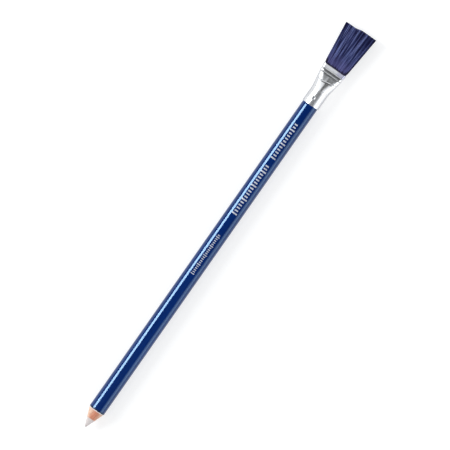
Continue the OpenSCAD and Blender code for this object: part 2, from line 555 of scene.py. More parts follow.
class PaintBench(Bench):
    """A bench for one material, with the patterns that finishes are made of."""

    def place(self) -> Term:
        """Object coordinates in metres."""
        return self.get("ShaderNodeTexCoord", key="Object")

    def pattern(self, per_mm: Triple, shift: Triple = (0.0, 0.0, 0.0)) -> Term:
        """Object coordinates scaled to a pattern's size.

        Args:
            per_mm: Number of features for each millimetre along x, y and z.
            shift: Offset of the pattern.

        Returns:
            The pattern's coordinates.
        """
        scale = tuple(f / MM for f in per_mm)
        feeds = {"Vector": self.place(), "Location": shift, "Scale": scale}
        return self.get("ShaderNodeMapping", feeds)

    def noise(self, vector: Term, detail: float = 2.0, rough: float = 0.5,
              twist: float = 0.0) -> Term:
        """Noise of about 0 to 1.

        Args:
            vector: Coordinates.
            detail: Number of finer layers.
            rough: Strength of the finer layers.
            twist: Distortion.

        Returns:
            The noise.
        """
        feeds = {"Vector": vector, "Scale": 1.0, "Detail": detail, "Roughness": rough,
                 "Distortion": twist}
        return self.get("ShaderNodeTexNoise", feeds)

    def grain(self, per_mm: Triple, *layers: float) -> Term:
        """Noise with so many features for each millimetre along x, y and z."""
        return self.noise(self.pattern(per_mm), *layers)

    def cells(self, vector: Term) -> tuple[Term, Term]:
        """Distance to the nearest cell's middle, and that cell's own random number."""
        node = self.add("ShaderNodeTexVoronoi", {"Vector": vector, "Scale": 1.0})
        own = self.get("ShaderNodeSeparateColor", {0: self.out(node, "Color")})
        return self.out(node, "Distance"), own

    def mask(self, name: str) -> Term:
        """A value that the mesh holds for each point."""
        return self.get("ShaderNodeAttribute", key="Fac", attribute_name=name)

    def bump(self, height: Term, distance: float, strength: float = 0.8,
             below: Term | None = None) -> Term:
        """Bumps a surface.

        Args:
            height: Height of 0 to 1.
            distance: Real height of 1.
            strength: Share of the effect.
            below: Normal of a coarser bump.

        Returns:
            The normal.
        """
        feeds = {"Height": height, "Distance": distance, "Strength": strength}
        if below is not None:
            feeds["Normal"] = below
        return self.get("ShaderNodeBump", feeds)


class GeometryBench(Bench):
    """A bench for one geometry tree with named inputs, run once on a base mesh."""

    KINDS: ClassVar[dict[type, str]] = {
        int: "NodeSocketInt",
        float: "NodeSocketFloat",
        bpy.types.Material: "NodeSocketMaterial",
    }

    def __init__(self, name: str, inputs: dict[str, object]) -> None:
        """Makes a tree with its geometry input and output, and its named inputs.

        Args:
            name: Name of the tree.
            inputs: Value that the tree is run with, by the input's name.
        """
        super().__init__(bpy.data.node_groups.new(name, "GeometryNodeTree"))
        sockets = self.tree.interface
        for way in ("INPUT", "OUTPUT"):
            sockets.new_socket("Geometry", in_out=way, socket_type="NodeSocketGeometry")
        self.values: dict[str, object] = {}
        for key, value in inputs.items():
            kind = next(k for t, k in self.KINDS.items() if isinstance(value, t))
            item = sockets.new_socket(key, in_out="INPUT", socket_type=kind)
            self.values[item.identifier] = value
        self.way_in = self.add("NodeGroupInput")

    def __getitem__(self, name: str) -> Term:
        """A named input of the tree."""
        return self.out(self.way_in, name)

    def random(self, low: float, high: float, seed: int, group: Term | None = None) -> Term:
        """Random number for each element.

        Args:
            low: Least value.
            high: Greatest value.
            seed: Fixes the numbers.
            group: Elements with the same number here share one random number.

        Returns:
            The random number.
        """
        feeds = {"Min": low, "Max": high, "Seed": seed}
        if group is not None:
            feeds["ID"] = group
        return self.get("FunctionNodeRandomValue", feeds, data_type="FLOAT")

    def keep(self, geometry: Term, **values: Term) -> Term:
        """Stores values on each point under their names.

        Args:
            geometry: The points.
            **values: The values, by name.

        Returns:
            The geometry with the values.
        """
        for name, value in values.items():
            kind = "FLOAT_VECTOR" if value.is_vector else "FLOAT"
            feeds = {"Geometry": geometry, "Name": name, "Value": value}
            geometry = self.get("GeometryNodeStoreNamedAttribute", feeds, data_type=kind,
                                domain="POINT")
        return geometry

    def kept(self, name: str, kind: str = "FLOAT") -> Term:
        """Reads a stored value."""
        return self.get("GeometryNodeInputNamedAttribute", {"Name": name}, data_type=kind)

    def copied(self, points: Term, thing: Term, **feeds: object) -> Term:
        """Sets a copy of a thing on each point, as real geometry.

        Args:
            points: The points.
            thing: What is copied.
            **feeds: What else goes into the node's inputs, by name.

        Returns:
            The copies.
        """
        copies = self.get("GeometryNodeInstanceOnPoints", {
            "Points": points, "Instance": thing, **feeds})
        return self.get("GeometryNodeRealizeInstances", {"Geometry": copies})

    def moved(self, geometry: Term, place: Term) -> Term:
        """Moves each point to a new place."""
        return self.get("GeometryNodeSetPosition", {"Geometry": geometry, "Position": place})

    def close(self, geometry: Term, material: Term) -> None:
        """Ends the tree with real geometry in one material."""
        real = self.get("GeometryNodeRealizeInstances", {"Geometry": geometry})
        dressed = self.get("GeometryNodeSetMaterial", {"Geometry": real, "Material": material})
        self.add("NodeGroupOutput", {"Geometry": dressed})

    def run(self, name: str, base: bpy.types.Mesh) -> bpy.types.Object:
        """Runs the tree and keeps its result as a plain mesh.

        Args:
            name: Name of the piece.
            base: Mesh that goes into the tree.

        Returns:
            The new object, not yet in the scene.
        """
        stand = bpy.data.objects.new(name + "_base", base)
        bpy.context.scene.collection.objects.link(stand)
        modifier = stand.modifiers.new("Nodes", "NODES")
        modifier.node_group = self.tree
        for key, value in self.values.items():
            modifier[key] = value
        shown = stand.evaluated_get(bpy.context.evaluated_depsgraph_get())
        mesh = bpy.data.meshes.new_from_object(shown)
        stand.modifiers.remove(modifier)
        bpy.data.objects.remove(stand)
        mesh.name = name
        return bpy.data.objects.new(name, mesh)


# Finishes


@dataclass(frozen=True)
class Finish:
    """A surface finish that makes one node material."""

    title: ClassVar[str] = "finish"

    def material(self) -> bpy.types.Material:
        """Makes the material.

        Returns:
            The material, with its nodes in place.
        """
        material = bpy.data.materials.new(self.title)
        material.use_nodes = True
        bench = PaintBench(material.node_tree)
        bench.feed(material.node_tree.nodes["Principled BSDF"], self.coat(bench))
        return material

    def coat(self, bench: PaintBench) -> dict[str, object]:
        """What goes into the Principled shader's inputs. Each finish has its own."""
        raise NotImplementedError


@dataclass(frozen=True)
class BarrelLacquer(Finish):
    """Glossy deep blue lacquer with a clear top coat.

    Attributes:
        cut_x: Place of the cut edge, next to which the lacquer is painted darker as shade.
        grip_x: Place of the ferrule's edge, where the lacquer is rubbed.
        rub_len: Length of the rubbed stretch.
        edge_shade_span: Start and end of the stretch painted darker as shade, from the cut edge.
        gloss: Roughness where nothing has touched the lacquer.
        peel: Height of its faint orange peel.
        sheen: Colour of what it mirrors.
    """

    cut_x: float
    grip_x: float
    rub_len: float = 0.9 * MM
    edge_shade_span: tuple[float, float] = (0.10 * MM, 0.50 * MM)
    gloss: float = 0.09
    peel: float = 0.0018 * MM
    sheen: Colour = (0.47, 0.74, 1.0)
    deep: Colour = (0.0008, 0.0165, 0.122)
    thin: Colour = (0.0016, 0.0240, 0.160)
    scuffed: Colour = (0.10, 0.19, 0.38)
    # Painted shade colour for the band along the cut edge
    edge_shade: Colour = (0.0006, 0.0030, 0.022)
    title: ClassVar[str] = "barrel_lacquer"

    def coat(self, bench: PaintBench) -> dict[str, object]:
        """Paints flow marks, hair scratches, a scuffed end at the ferrule and painted shade at the
        cut edge.

        Args:
            bench: Bench of the material.

        Returns:
            The shader's inputs.
        """
        x = bench.parts(bench.place())[0]
        flow = bench.grain((0.03, 0.4, 0.4), 3.0)
        colour = bench.blend(bench.remap(flow, 0.35, 0.75), self.deep, self.thin)
        hair = bench.grain((0.09, 7.0, 7.0), 1.0)
        scratch = bench.remap(hair, 0.70, 0.76)
        colour = bench.blend(scratch * 0.10, colour, self.scuffed)
        grain = bench.grain((3.0, 6.0, 6.0), 4.0, 0.7)
        near_grip = bench.ease(x, self.grip_x - self.rub_len, self.grip_x, 0.0, 0.9)
        worn = bench.remap(near_grip * grain, 0.42, 0.58, 0.0, 0.5)
        colour = bench.blend(worn, colour, self.scuffed)
        rim = x - grain * (0.25 * MM)
        # Painted shade: a dark band along the cut edge, where the rounded rim mirrors little light
        start, end = (self.cut_x + reach for reach in self.edge_shade_span)
        lip = bench.ease(rim, start, end, 1.0, 0.0)
        dull = scratch * 0.18 + worn * 0.35 + lip * 0.25
        low = bench.bump(bench.grain((0.9, 1.1, 1.1), 2.0), self.peel, 0.7)
        return {
            "Base Color": bench.blend(lip, colour, self.edge_shade),
            "Roughness": bench.math("ADD", dull, self.gloss, clamp=True),
            "Normal": bench.bump(scratch, -0.001 * MM, 0.5, low),
            "IOR": 1.45,
            "Specular IOR Level": 0.74,
            "Specular Tint": self.sheen,
        }


@dataclass(frozen=True)
class WhiteUndercoat(Finish):
    """Matt, slightly pink white undercoat."""

    pale: Colour = (0.86, 0.79, 0.79)
    stained: Colour = (0.72, 0.58, 0.54)
    title: ClassVar[str] = "white_undercoat"

    def coat(self, bench: PaintBench) -> dict[str, object]:
        """Paints a chalky coat with faint stains.

        Args:
            bench: Bench of the material.

        Returns:
            The shader's inputs.
        """
        stain_and_reflection = bench.grain((1.5, 1.5, 1.5), 3.0, 0.6)
        chalk = bench.grain((14.0, 14.0, 14.0), 3.0, 0.6)
        return {
            "Base Color": bench.blend(bench.remap(stain_and_reflection, 0.5, 0.8), self.pale, self.stained),
            "Roughness": bench.remap(chalk, 0.3, 0.7, 0.6, 0.8),
            "Normal": bench.bump(chalk, 0.006 * MM),
        }


@dataclass(frozen=True)
class CutCedar(Finish):
    """Freshly cut reddish pencil wood, with its grain along the pencil.

    Attributes:
        shift: Offset of the pattern, so that no two slats look alike.
        dark_band_y: Middle of the redder, darker band along the wood, a heartwood tone that also
            paints shade in the middle of the cone.
        dark_band_w: Half width of that band, outside which the wood is painted paler as light on its
            sides.
    """

    shift: Triple
    dark_band_y: float = -0.45 * MM
    dark_band_w: float = 2.3 * MM
    early: Colour = (0.68, 0.25, 0.15)
    late: Colour = (0.50, 0.15, 0.085)
    # Colour of sapwood that also paints light on the cone's sides
    sap_and_lit_side: Colour = (0.84, 0.59, 0.44)
    pale: Colour = (0.82, 0.50, 0.37)
    pore: Colour = (0.30, 0.10, 0.06)
    title: ClassVar[str] = "cut_cedar"

    def grain(self, bench: PaintBench, per_mm: Triple, *layers: float) -> Term:
        """Noise that is drawn out along the wood and shifted with its slat."""
        return bench.noise(bench.pattern(per_mm, self.shift), *layers)

    def coat(self, bench: PaintBench) -> dict[str, object]:
        """Paints growth rings, fibres, pores and the blade's ridges, and a redder middle with paler
        sides that is partly heartwood tone and partly painted light.

        Args:
            bench: Bench of the material.

        Returns:
            The shader's inputs.
        """
        warp = self.grain(bench, (0.07, 0.25, 0.25), 3.0)
        y, z = bench.parts(bench.pattern((0.02, 0.9, 0.62), self.shift))[1:]
        line = y + z + warp * 2.4
        ring = bench.ease(bench.math("PINGPONG", line, 0.5), 0.30, 0.5)
        colour = bench.blend(ring * 0.75, self.early, self.late)
        streak = self.grain(bench, (0.25, 1.6, 1.6), 2.0)
        # Partly wood tone, partly painted light: paler towards both sides across Y, redder in the
        # middle
        side = bench.parts(bench.place())[1] - self.dark_band_y + (streak - 0.5) * (1.6 * MM)
        pale_side_share = bench.ease(abs(side), 0.25 * self.dark_band_w, 1.15 * self.dark_band_w, 0.0, 0.95)
        colour = bench.blend(pale_side_share, colour, self.sap_and_lit_side)
        fibre = self.grain(bench, (0.5, 13.0, 13.0), 3.0, 0.6)
        colour = bench.blend(bench.remap(fibre, 0.45, 0.75, 0.0, 0.55), colour, self.pale)
        dash = self.grain(bench, (1.6, 16.0, 16.0), 1.0)
        ridge = bench.bump(self.grain(bench, (9.0, 0.35, 0.35), 2.0, 0.5, 0.3), 0.012 * MM)
        return {
            "Base Color": bench.blend(bench.remap(dash, 0.66, 0.74, 0.0, 0.7), colour, self.pore),
            "Roughness": bench.remap(fibre, 0.3, 0.7, 0.55, 0.8),
            "Normal": bench.bump(fibre, 0.008 * MM, below=ridge),
            "Specular IOR Level": 0.3,
        }


@dataclass(frozen=True)
class AbrasiveRubber(Finish):
    """Pale matt eraser rubber with fine grit.

    Attributes:
        point_x: Place of the point, which is smudged.
        wood_x: Place at which the wood starts, where its dust is rubbed over the rubber.
        smudge_len: Length of the smudged stretch.
        dusty: Start and end of the stretch over which the dust sets in, from the wood.
    """

    point_x: float
    wood_x: float
    smudge_len: float = 1.6 * MM
    dusty: tuple[float, float] = (0.05 * MM, 0.55 * MM)
    pale: Colour = (0.74, 0.675, 0.66)
    warm: Colour = (0.67, 0.59, 0.56)
    grit: Colour = (0.45, 0.43, 0.42)
    smudge: Colour = (0.50, 0.48, 0.48)
    dust: Colour = (0.72, 0.42, 0.31)
    title: ClassVar[str] = "abrasive_rubber"

    def coat(self, bench: PaintBench) -> dict[str, object]:
        """Paints mottling, grit, a used point and wood dust.

        Args:
            bench: Bench of the material.

        Returns:
            The shader's inputs.
        """
        x = bench.parts(bench.place())[0]
        cloud = bench.grain((0.8, 0.8, 0.8), 3.0, 0.6)
        colour = bench.blend(bench.remap(cloud, 0.4, 0.75), self.pale, self.warm)
        distance, own = bench.cells(bench.pattern((7.0, 7.0, 7.0)))
        speck = bench.remap(distance, 0.16, 0.30, 1.0, 0.0) * bench.remap(own, 0.62, 0.72)
        colour = bench.blend(speck * 0.55, colour, self.grit)
        rub = bench.grain((1.3, 2.5, 2.5), 4.0, 0.65)
        used = bench.ease(x, self.point_x, self.point_x + self.smudge_len, 1.0, 0.0)
        colour = bench.blend(bench.remap(used * rub, 0.30, 0.60, 0.0, 0.45), colour, self.smudge)
        start, end = (self.wood_x + reach for reach in self.dusty)
        near = bench.ease(x + rub * (0.9 * MM), start, end, 0.0, 0.7)
        grain = bench.grain((11.0, 11.0, 11.0), 4.0, 0.7)
        return {
            "Base Color": bench.blend(near, colour, self.dust),
            "Roughness": bench.remap(grain, 0.3, 0.7, 0.72, 0.92),
            "Normal": bench.bump(speck, 0.02 * MM, 0.7, bench.bump(grain, 0.014 * MM)),
            "Specular IOR Level": 0.3,
        }


@dataclass(frozen=True)
class PressedAluminium(Finish):
    """Bright drawn aluminium, with grime and painted shade in its grooves, and a painted reflection
    of the bristles on its lip that darkens towards -Y as painted shade.

    Attributes:
        reflection_fade: Places across the lip between which the painted reflection and its painted
            shade fade out.
    """

    reflection_fade: tuple[float, float] = (-1.6 * MM, -0.4 * MM)
    bright: Colour = (0.82, 0.825, 0.84)
    grey: Colour = (0.68, 0.685, 0.70)
    # Colour of grime and painted shade in the grooves and the punch marks' slits
    grime_and_shade: Colour = (0.16, 0.155, 0.15)
    # Painted purple reflection of the bristles on the lip, also painted shade
    stain_and_reflection: Colour = (0.47, 0.46, 0.60)
    sheen: Colour = (0.30, 0.31, 0.34)
    title: ClassVar[str] = "pressed_aluminium"

    def coat(self, bench: PaintBench) -> dict[str, object]:
        """Paints draw lines, blotches, polished edges, grime and painted shade in the grooves, and
        the painted reflection and shade on the lip.

        Args:
            bench: Bench of the material.

        Returns:
            The shader's inputs.
        """
        lines = bench.grain((0.12, 11.0, 11.0), 3.0, 0.65)
        blotch = bench.grain((0.7, 0.7, 0.7), 4.0, 0.6)
        press = bench.grain((3.2, 0.5, 0.5), 4.0, 0.7)
        mixed = bench.remap(press * 0.5 + blotch * 0.5, 0.42, 0.62, 0.0, 0.8)
        colour = bench.blend(mixed, self.bright, self.grey)
        ragged = press * (1.6 * MM) + bench.parts(bench.place())[1]
        # Painted light and shade: a purple reflection of the bristles on the lip, strongest and
        # darkest towards -Y
        lip_reflection = bench.mask("lip") * bench.ease(ragged, *self.reflection_fade, 0.8, 0.08)
        colour = bench.blend(lip_reflection, colour, self.stain_and_reflection)
        fine = bench.grain((4.0, 4.0, 4.0), 4.0, 0.7)
        # Grime and painted shade in the grooves and the punch marks' slits
        grime_and_shade_share = bench.mask("recess") * bench.remap(fine, 0.2, 0.6, 0.6, 1.0)
        rough = bench.remap(lines, 0.3, 0.7, 0.26, 0.35) + grime_and_shade_share * 0.25
        low = bench.bump(blotch + press * 0.5, 0.007 * MM)
        return {
            "Base Color": bench.blend(grime_and_shade_share * 0.75, colour, self.grime_and_shade),
            "Metallic": 1.0,
            "Specular Tint": self.sheen,
            "Roughness": bench.math("SUBTRACT", rough, bench.mask("rubbed") * 0.08, clamp=True),
            "Normal": bench.bump(lines, 0.0012 * MM, below=low),
        }


@dataclass(frozen=True)
class Streak:
    """Darker band painted as the shade in a parting between two clumps of filaments, or a lighter
    band of them.

    Attributes:
        root: Its place across the width at the roots, -1 to 1.
        tip: Its place at the cut end.
        half: Half its width.
        depth: Darkening painted as shade in a parting, below 0 in a lighter band.
        start: Place along the filaments at which it opens.
    """

    root: float
    tip: float
    half: float
    depth: float
    start: float

    def loss(self, bench: PaintBench, lane: Term, along: Term) -> Term:
        """Darkening painted as shade on filaments in a parting, or lightening in a lighter band.

        Args:
            bench: Bench of the material.
            lane: The filaments' place across the width.
            along: Place along them.

        Returns:
            The loss.
        """
        away = abs(lane - self.root + along * (self.root - self.tip))
        near = bench.ease(away, 0.4 * self.half, 1.4 * self.half, self.depth, 0.0)
        return near * bench.ease(along, self.start, self.start + 0.25)


@dataclass(frozen=True)
class NylonFilament(Finish):
    """Dark violet blue filaments, each with its own shade, with painted shade at the roots and
    between clumps.
    """

    dark: Colour = (0.001, 0.001, 0.045)
    middle: Colour = (0.034, 0.044, 0.165)
    light: Colour = (0.215, 0.255, 0.560)
    root: Colour = (0.105, 0.090, 0.260)
    # Painted shade colour for the roots by the mouth, reaching further at the tuft's sides
    deep: Colour = (0.012, 0.008, 0.035)
    streaks: tuple[Streak, ...] = (
        Streak(0.56, 0.18, 0.030, 0.75, 0.03),
        Streak(-0.27, -0.27, 0.040, 0.55, 0.45),
        Streak(-0.35, -0.365, 0.020, -1.00, 0.35),
        Streak(-0.42, -0.435, 0.022, 0.85, 0.45),
        Streak(-0.47, -0.49, 0.020, -0.80, 0.45),
        Streak(-0.55, -0.575, 0.032, 0.95, 0.40),
        Streak(0.52, 0.56, 0.024, 0.65, 0.45),
        Streak(0.58, 0.63, 0.020, -0.65, 0.20),
        Streak(0.66, 0.70, 0.026, 0.70, 0.40),
        Streak(0.74, 0.79, 0.018, -0.45, 0.45),
        Streak(0.80, 0.86, 0.026, 0.55, 0.40),
        Streak(0.05, -0.03, 0.120, -0.20, 0.50),
        Streak(0.62, 0.55, 0.120, -0.14, 0.05),
        Streak(-0.34, -0.34, 0.180, 0.24, 0.15),
        Streak(-0.80, -0.80, 0.140, 0.26, 0.10),
    )
    title: ClassVar[str] = "nylon_filament"

    def coat(self, bench: PaintBench) -> dict[str, object]:
        """Shades the filaments by their own values, and paints shade in the gaps and partings
        between clumps and at the roots by the mouth.

        Args:
            bench: Bench of the material.

        Returns:
            The shader's inputs.
        """
        shade, along, lane = (bench.mask(name) for name in ("shade", "along", "lane"))
        far = along * 1.5
        strand = bench.noise(bench.joined(lane * 19.0, far, 7.3), 0.0)
        bundle = bench.noise(bench.joined(lane * 6.0, far, 2.1), 1.0)
        # Painted shade in the gaps between clumps, stronger towards the cut end
        gap = bench.ease(strand, 0.24, 0.40, 0.7, 0.0) * bench.ease(along, 0.20, 0.60, 0.15, 1.0)
        gap = gap * bench.ease(abs(lane - 0.05), 0.15, 0.40, 0.35, 1.0)
        tone = (strand - 0.5) * 2.3 + (bundle - 0.5) * 0.7
        tone = tone * bench.ease(along, 0.10, 0.60, 0.6, 1.0) + shade - gap
        # Painted shade in the partings between clumps
        for streak in self.streaks:
            tone = tone - streak.loss(bench, lane, along)
        colour = bench.blend(bench.remap(tone, 0.05, 0.48), self.dark, self.middle)
        colour = bench.blend(bench.remap(tone, 0.48, 1.0), colour, self.light)
        colour = bench.blend(bench.ease(along, 0.05, 0.45, 0.62, 0.0), colour, self.root)
        # Painted shade: darkening at the roots by the mouth, longer at the tuft's sides
        rim = bench.ease(abs(lane), 0.84, 1.0, 0.0, -0.08)
        low = (strand - 0.5) * 0.10 + rim + along
        haze = bench.grain((1.2, 9.0, 9.0), 2.0)
        return {
            "Base Color": bench.blend(bench.ease(low, 0.075, 0.115, 0.9, 0.0), colour, self.deep),
            "Roughness": bench.remap(haze, 0.3, 0.7, 0.42, 0.60),
            "Specular IOR Level": 0.14,
            "Normal": bench.bump(haze, 0.004 * MM, 0.5),
        }


@dataclass(frozen=True)
class SilverFoil(Finish):
    """Hot pressed silver foil, rubbed thin in places."""

    silver: Colour = (0.74, 0.77, 0.82)
    tarnish: Colour = (0.46, 0.50, 0.58)
    ground: Colour = (0.010, 0.045, 0.20)
    title: ClassVar[str] = "silver_foil"

    def coat(self, bench: PaintBench) -> dict[str, object]:
        """Paints the foil and the blue that shows through it.

        Args:
            bench: Bench of the material.

        Returns:
            The shader's inputs.
        """
        cloud = bench.grain((0.9, 0.9, 0.9), 3.0, 0.6)
        colour = bench.blend(bench.remap(cloud, 0.4, 0.75), self.silver, self.tarnish)
        rub = bench.grain((2.2, 7.0, 7.0), 4.0, 0.7)
        return {
            "Base Color": bench.blend(bench.remap(rub, 0.64, 0.70, 0.0, 0.8), colour, self.ground),
            "Metallic": bench.remap(rub, 0.60, 0.70, 0.35, 0.0),
            "Roughness": bench.remap(rub, 0.3, 0.7, 0.30, 0.48),
            "Normal": bench.bump(rub, 0.002 * MM, 0.6),
        }


@dataclass(frozen=True)
class CastCement(Finish):
    """Dull set cement behind the bristles' roots."""

    light: Colour = (0.34, 0.28, 0.20)
    dark: Colour = (0.20, 0.16, 0.11)
    title: ClassVar[str] = "cast_cement"

    def coat(self, bench: PaintBench) -> dict[str, object]:
        """Paints a lumpy cast surface.

        Args:
            bench: Bench of the material.

        Returns:
            The shader's inputs.
        """
        lump = bench.grain((2.0, 2.0, 2.0), 5.0, 0.6)
        return {
            "Base Color": bench.blend(lump, self.dark, self.light),
            "Roughness": bench.remap(lump, 0.3, 0.7, 0.65, 0.85),
            "Normal": bench.bump(lump, 0.03 * MM),
        }


# Pieces


@dataclass(frozen=True)
class Layout:
    """Places and radii of the pencil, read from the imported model.

    Attributes:
        axis_z: Height of the pencil's axis over the floor.
        point_x: Place of the eraser's point.
        end_x: Place of the pencil's end inside the ferrule.
        core_r: Radius of the rubber core.
        wood_r: Radius over the wood.
        primer_r: Radius over the undercoat.
        barrel_r: Radius over the lacquer.
        tube_x: Place of the ferrule's open end.
        mouth_x: Place of the ferrule's mouth.
        mouth_y: Half width of the mouth.
        tip: Lowest and highest corner of the bristles.
        point_r: Radius of the rounded point.
        half_angle: Half angle of the sharpened cone.
        core_gap: Clearance between the core and its groove.
        seat_cut: Amount by which both coats are rolled in under the ferrule.
        seat_taper: Length of the taper down to the seat.
        mark_back: Distance from the ferrule's open end to the punch marks.
        mark_turn: Angle by which they lie off the line that faces the camera.
        mark_r: Radius of a punch mark.
        mark_depth: Depth of a punch mark.
    """

    axis_z: float
    point_x: float
    end_x: float
    core_r: float
    wood_r: float
    primer_r: float
    barrel_r: float
    tube_x: float
    mouth_x: float
    mouth_y: float
    tip: tuple[Vector, Vector]
    point_r: float = 0.5 * MM
    half_angle: float = math.radians(20.8)
    core_gap: float = 0.01 * MM
    seat_cut: float = 0.05 * MM
    seat_taper: float = 0.6 * MM
    mark_back: float = 3.4 * MM
    mark_turn: float = math.radians(7.0)
    mark_r: float = 0.72 * MM
    mark_depth: float = 0.40 * MM

    @classmethod
    def read(cls) -> "Layout":
        """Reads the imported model.

        Returns:
            The places and radii.
        """
        core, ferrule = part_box("eraser_core"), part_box("ferrule")
        return cls(
            axis_z=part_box("casing_slat_upper")[0].z,
            point_x=core[0].x,
            end_x=core[1].x,
            core_r=core[1].y,
            wood_r=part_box("casing_slat_upper")[1].y,
            primer_r=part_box("primer_coat")[1].y,
            barrel_r=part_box("lacquer_coat")[1].y,
            tube_x=ferrule[0].x,
            mouth_x=ferrule[1].x,
            mouth_y=ferrule[1].y,
            tip=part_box("bristle_tuft"),
        )

    @property
    def groove_r(self) -> float:
        """Radius of the groove that holds the core."""
        return self.core_r + self.core_gap

    @property
    def seat_r(self) -> float:
        """Radius over the lacquer inside the ferrule."""
        return self.barrel_r - self.seat_cut

    def cut_x(self, r: float) -> float:
        """Place along the pencil at which the sharpened cone reaches a radius."""
        rise = r - self.point_r * math.cos(self.half_angle)
        start = self.point_r * (1.0 - math.sin(self.half_angle))
        return self.point_x + start + rise / math.tan(self.half_angle)

    def on_cone(self, r: float, cut: float = 0.0) -> Corner:
        """Corner of a profile on the sharpened cone, trimmed by a length."""
        return Corner(self.cut_x(r), r, cut)

    @property
    def marks(self) -> tuple[PunchMark, PunchMark]:
        """Punch marks on the upper and the lower side of the ferrule."""
        return tuple(PunchMark(self.tube_x + self.mark_back, side - self.mark_turn, self.mark_r,
                               self.mark_depth) for side in (math.pi / 2, -math.pi / 2))

    def gap(self, x: float) -> float:
        """Spacing of the mesh along the pencil, fine where its shape changes.

        Args:
            x: Place along the pencil.

        Returns:
            The spacing.
        """
        if abs(x - self.marks[0].x) < 0.85 * MM:
            return 0.09 * MM
        if x < self.cut_x(self.barrel_r) + 1.2 * MM:
            return 0.12 * MM
        if abs(x - self.tube_x) < 1.5 * MM:
            return 0.2 * MM
        return 2.5 * MM


def hand_over(piece: bpy.types.Object, nodes: Sequence[str] = (),
              finish: Finish | None = None, crease: float = 38.0) -> bpy.types.Object:
    """Puts a finished piece in the scene and in the frame.

    Args:
        piece: The piece, in place.
        nodes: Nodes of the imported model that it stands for.
        finish: Its finish, unless its own tree has dressed it.
        crease: Edges sharper than this many degrees stay sharp.

    Returns:
        The piece.
    """
    bpy.context.scene.collection.objects.link(piece)
    if finish is not None:
        piece.data.materials.append(finish.material())
    smooth = np.ones(len(piece.data.polygons), dtype=bool)
    piece.data.polygons.foreach_set("use_smooth", smooth)
    piece.data.set_sharp_from_angle(angle=math.radians(crease))
    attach(piece, "root")
    if nodes:
        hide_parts(*nodes)
    return piece


@dataclass
class EraserRod:
    """Rubber core with its sharpened and slightly used point.

    Attributes:
        layout: Places and radii.
        proud: Height by which the rubber stands over the cut wood.
        worn: Depth of the wear at the point.
        wear_len: Length of the worn stretch.
    """

    layout: Layout
    proud: float = 0.015 * MM
    worn: float = 0.035 * MM
    wear_len: float = 0.8 * MM

    def profile(self) -> np.ndarray:
        """Outline from the point to the pencil's end.

        Returns:
            Rows of x and r.
        """
        lay = self.layout
        quarter = np.linspace(0.0, math.pi / 2 - lay.half_angle, 14)[1:]
        nose = np.stack([lay.point_x + lay.point_r * (1.0 - np.cos(quarter)),
                         lay.point_r * np.sin(quarter)], axis=1)
        shoulder = lay.cut_x(lay.core_r) - self.proud / math.sin(lay.half_angle)
        rest = rounded([Corner(*nose[-1]), Corner(shoulder, lay.core_r, 0.05 * MM),
                        Corner(lay.end_x, lay.core_r, 0.1 * MM), Corner(lay.end_x, 0.5 * MM)],
                       closed=False)
        return np.vstack([nose[:-1], spaced(rest, lay.gap, closed=False)])

    def build(self) -> list[bpy.types.Object]:
        """Makes the rod.

        Returns:
            The one piece.
        """
        lay = self.layout
        angles = np.radians(np.arange(0.0, 360.0, 3.0))
        rows = turned(self.profile(), angles, lay.axis_z)
        near = np.exp(-((rows[..., 0] - lay.point_x) / self.wear_len) ** 2)
        wear = near * (self.worn + Unevenness(5, self.worn).at(angles))
        middle = np.array([0.0, 0.0, lay.axis_z])
        flat = (rows - middle) * np.array([0.0, 1.0, 1.0])
        length = np.linalg.norm(flat, axis=-1)
        rows -= flat * (np.minimum(wear, 0.4 * length) / length)[..., None]
        skin = Skin()
        ids = skin.grid(rows)
        skin.fan(ids[0], (lay.point_x, 0.0, lay.axis_z))
        skin.lid(ids[-1])
        rubber = AbrasiveRubber(lay.point_x, lay.cut_x(lay.core_r))
        return [hand_over(skin.build("eraser_rod"), ["eraser_core"], rubber)]


class Half(Enum):
    """The two halves of the casing, by the angle at which each starts."""

    UPPER = 0.0
    LOWER = 180.0


@dataclass
class WoodCasing:
    """Two grooved wooden slats, glued round the core.

    Attributes:
        layout: Places and radii.
        seam: Angle left free at each side of the glue line, in degrees.
    """

    layout: Layout
    seam: float = 0.12

    def slat(self, half: Half) -> bpy.types.Object:
        """Makes one slat.

        Args:
            half: Which slat it is.

        Returns:
            The piece.
        """
        lay = self.layout
        loop = rounded([lay.on_cone(lay.groove_r, 0.02 * MM), lay.on_cone(lay.wood_r, 0.02 * MM),
                        Corner(lay.end_x, lay.wood_r, 0.1 * MM),
                        Corner(lay.end_x, lay.groove_r, 0.05 * MM)])
        whole = np.degrees(angles_round(lay.marks))
        start = half.value
        inside = whole[(whole > start + self.seam + 0.3) & (whole < start + 179.6 - self.seam)]
        angles = np.radians([start + self.seam, *inside, start + 180.0 - self.seam])
        rows = turned(spaced(loop, lay.gap), angles, lay.axis_z)
        rows = pressed(rows, lay.axis_z, lay.marks, lay.groove_r, lay.seat_r)
        skin = Skin()
        ids = skin.grid(rows, wrap_rows=True, wrap_cols=False)
        skin.lid(ids[:, 0])
        skin.lid(ids[:, -1])
        side = half.name.lower()
        slat = skin.build(f"wood_slat_{side}")
        cedar = CutCedar((3.1, 0.4, 1.7) if half is Half.UPPER else (8.3, 2.9, 5.2))
        return hand_over(slat, [f"casing_slat_{side}"], cedar, crease=50.0)

    def build(self) -> list[bpy.types.Object]:
        """Makes both slats."""
        return [self.slat(half) for half in Half]


